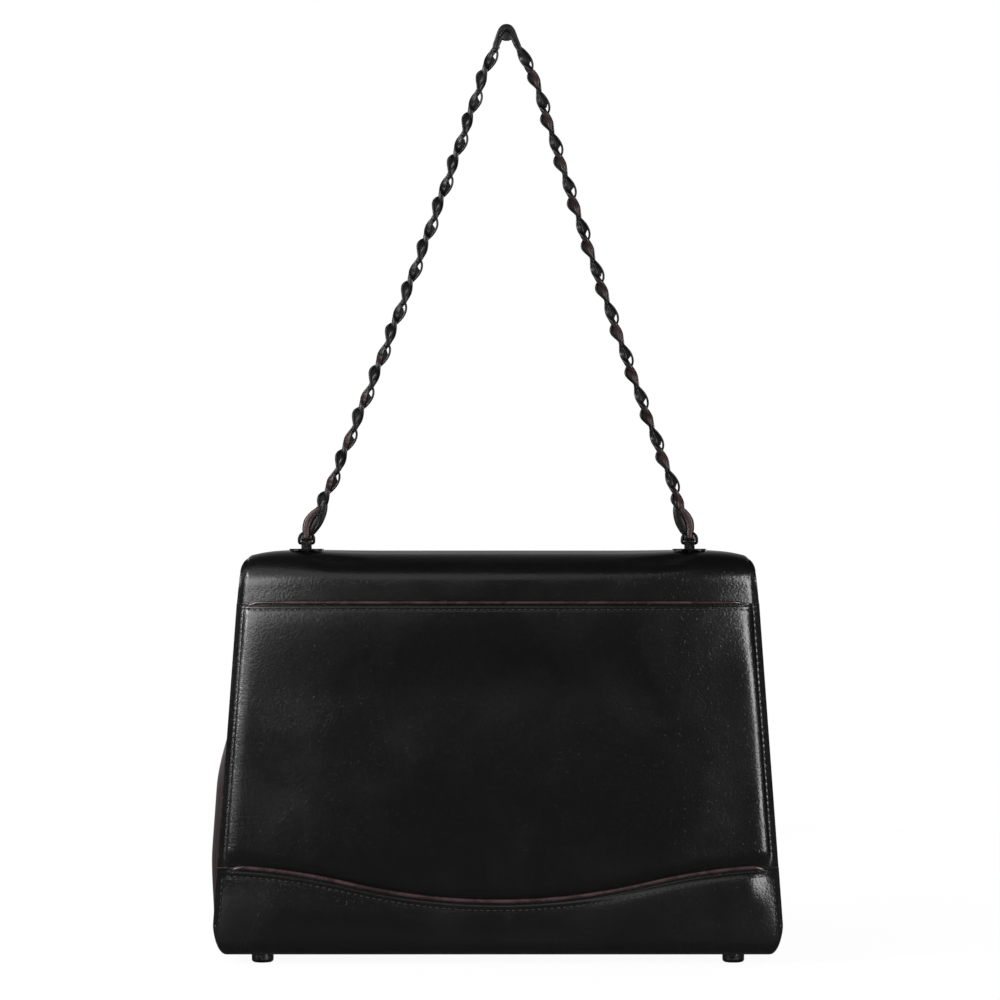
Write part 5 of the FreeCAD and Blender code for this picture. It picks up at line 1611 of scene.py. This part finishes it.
def apex_lace_parts(strands):
    """Lace folded over the strap's highest point."""
    left, right = ([strand.place(link) for link in APEX_LACE_LINKS] for strand in strands)
    top = [np.array([APEX[0] + across, STRAP_Y, APEX[1] - drop]) for across, drop in APEX_LACE_TOP]
    stops = np.array(left + top + right[::-1])
    fine = np.linspace(0, len(stops) - 1, 90)
    line = points_at(fine, np.arange(len(stops)), stops)
    line = np.stack([soften(values, 13) for values in line.T], axis=1)
    ahead = np.gradient(line, axis=0)
    out = np.stack([-ahead[:, 2], 0 * fine, ahead[:, 0]], axis=1)
    taper = smooth(0, APEX_LACE_TAPER, fine) * smooth(0, APEX_LACE_TAPER, fine[-1] - fine)
    inner, outer = (least + more * taper for least, more in APEX_LACE_EDGES)
    return ribbon(line, out, inner, outer, APEX_LACE_THICK, 0)


def apex_knot_parts():
    """Lace that fills the bend of the strap's highest link."""
    height = np.linspace(-0.97, 0.97, 16)
    up = APEX[1] - APEX_KNOT_DROP + APEX_KNOT_REACH * height
    line = np.stack([np.full_like(up, APEX[0]), np.full_like(up, STRAP_Y), up], axis=1)
    half = APEX_KNOT_HALF * np.sqrt(1 - height ** 2) * (1 - APEX_KNOT_NARROWING * height)
    return ribbon(line, np.broadcast_to((1.0, 0.0, 0.0), line.shape), -half, half, APEX_KNOT_THICK, 0)


def make_links(name, node, body, parts, finish):
    points, faces, uv = join_parts(parts)
    dress(add_piece(name, points, faces, finish.metal, uv), body, "black_metal", node)


def make_strap(finish):
    strands = [Strand(-1), Strand(1)]
    for part, first, last in STRETCHES:
        parts = [strand.link_parts(n) for strand in strands for n in range(first, last)]
        if part == "upper":
            parts.append(apex_link_parts())
        make_links(f"strap_links_{part}", f"chain_links_{part}", f"strap_{part}", parts, finish)
    make_lace(strands, finish)


def knee_height(strand, links):
    return strand.place(links - 0.5)[2] + LINK_HOLD / 2 * strand.along[2]


def make_lace(strands, finish):
    bodies = [f"strap_{part}" for part, _, _ in STRETCHES]
    for number, (part, first, last) in enumerate(STRETCHES):
        lace_first = LACE_START if part == "lower" else first + 0.5
        lace_last = last - LACE_END_SHORT if part == "upper" else last + 0.5
        parts = [strand.lace_parts(lace_first, lace_last) for strand in strands]
        looped = range(max(first, 1), min(last, LINKS_PER_STRAND - 1))
        parts += [strand.loop_parts(n) for strand in strands for n in looped]
        if part == "lower":
            parts += [tongue for strand in strands for tongue in strand.end_parts()]
        if part == "upper":
            parts += [apex_lace_parts(strands), apex_knot_parts()]
        points, faces, uv = join_parts(parts)
        piece = add_piece(f"strap_lace_{part}", points, faces, finish.lace, uv)
        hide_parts(f"chain_lace_{part}")
        if part == "upper":
            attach(piece, bodies[number])
            continue
        middle = knee_height(strands[0], last)
        start, end = ((0, STRAP_Y * MM, (middle + shift) * MM) for shift in (-KNEE_SPREAD, KNEE_SPREAD))
        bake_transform(piece)
        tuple(start)
        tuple(end)


# Carried-over hardware

def finish_hardware(frame, finish):
    by_slot = {"black_metal": finish.metal, "plain_steel": finish.steel, "stiff_board": finish.board}
    for part in frame["record"]["subparts"]:
        material = by_slot.get(part["material_slot"])
        if part["node"] in STRAP_FITTINGS:
            material = finish.dull_metal
        if material is not None:
            mesh = frame["nodes"][part["node"]].data
            mesh.materials.clear()
            mesh.materials.append(material)


# Studio

def make_floor(finish):
    count = 96
    angle = np.linspace(0, 2 * math.pi, count, endpoint=False)
    x, y = TABLE_REACH * np.cos(angle), TABLE_BEHIND + TABLE_REACH * np.sin(angle)
    points = np.stack([x, y, 0 * angle], axis=1)
    floor = add_piece("studio_floor", points, [list(range(count))], finish.pale_floor())


def make_world():
    """White backdrop behind the bag and a dim room on the camera's side of it."""
    world = bpy.data.worlds.new("studio")
    bpy.context.scene.world = world
    world.use_nodes = True
    tree = world.node_tree
    way = add_node(tree, "ShaderNodeTexCoord").outputs["Generated"]
    ahead = add_node(tree, "ShaderNodeSeparateXYZ", {0: way}).outputs["Y"]
    backdrop = ramp(tree, ahead, *BACKDROP_RANGE, *BACKDROP_GLOW)
    path = add_node(tree, "ShaderNodeLightPath").outputs
    mirrored = math_node(tree, "MULTIPLY", backdrop, mirrored_rays(tree, path))
    ambient = math_node(tree, "MULTIPLY", path["Is Diffuse Ray"], ROOM_GLOW)
    unseen = math_node(tree, "MAXIMUM", mirrored, ambient)
    strength = math_node(tree, "MAXIMUM", path["Is Camera Ray"], unseen)
    background = tree.nodes["Background"].inputs
    background["Color"].default_value = (1, 1, 1, 1)
    tree.links.new(strength, background["Strength"])


def add_light(name, place, target, size, power):
    lamp = bpy.data.lights.new(name, "AREA")
    lamp.shape = "RECTANGLE"
    lamp.size, lamp.size_y = size
    lamp.energy = power
    holder = bpy.data.objects.new(name, lamp)
    bpy.context.scene.collection.objects.link(holder)
    holder.location = place
    holder.rotation_euler = (Vector(target) - Vector(place)).to_track_quat("-Z", "Y").to_euler()
    holder.visible_camera = False


def make_camera():
    data = bpy.data.cameras.new("photo_camera")
    data.sensor_width = CAMERA_SENSOR
    data.lens = CAMERA_LENS
    camera = bpy.data.objects.new("photo_camera", data)
    bpy.context.scene.collection.objects.link(camera)
    camera.location = CAMERA_PLACE
    camera.rotation_euler = (math.pi / 2, 0, 0)
    bpy.context.scene.camera = camera


def main():
    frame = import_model()
    finish = Finishes()
    shoulder_rows = make_back_leather(finish)
    make_pocket(finish)
    make_base_band(finish)
    make_front(finish)
    make_gussets(finish)
    make_flap(finish)
    make_top_lining(finish)
    make_lining(finish)
    make_slip_pocket(finish)
    make_body_stitches(finish, shoulder_rows)
    make_strap(finish)
    finish_hardware(frame, finish)
    make_floor(finish)
    make_world()
    for light in LIGHTS:
        add_light(*light)
    make_camera()
    bpy.context.scene.view_settings.view_transform = "Standard"


main()
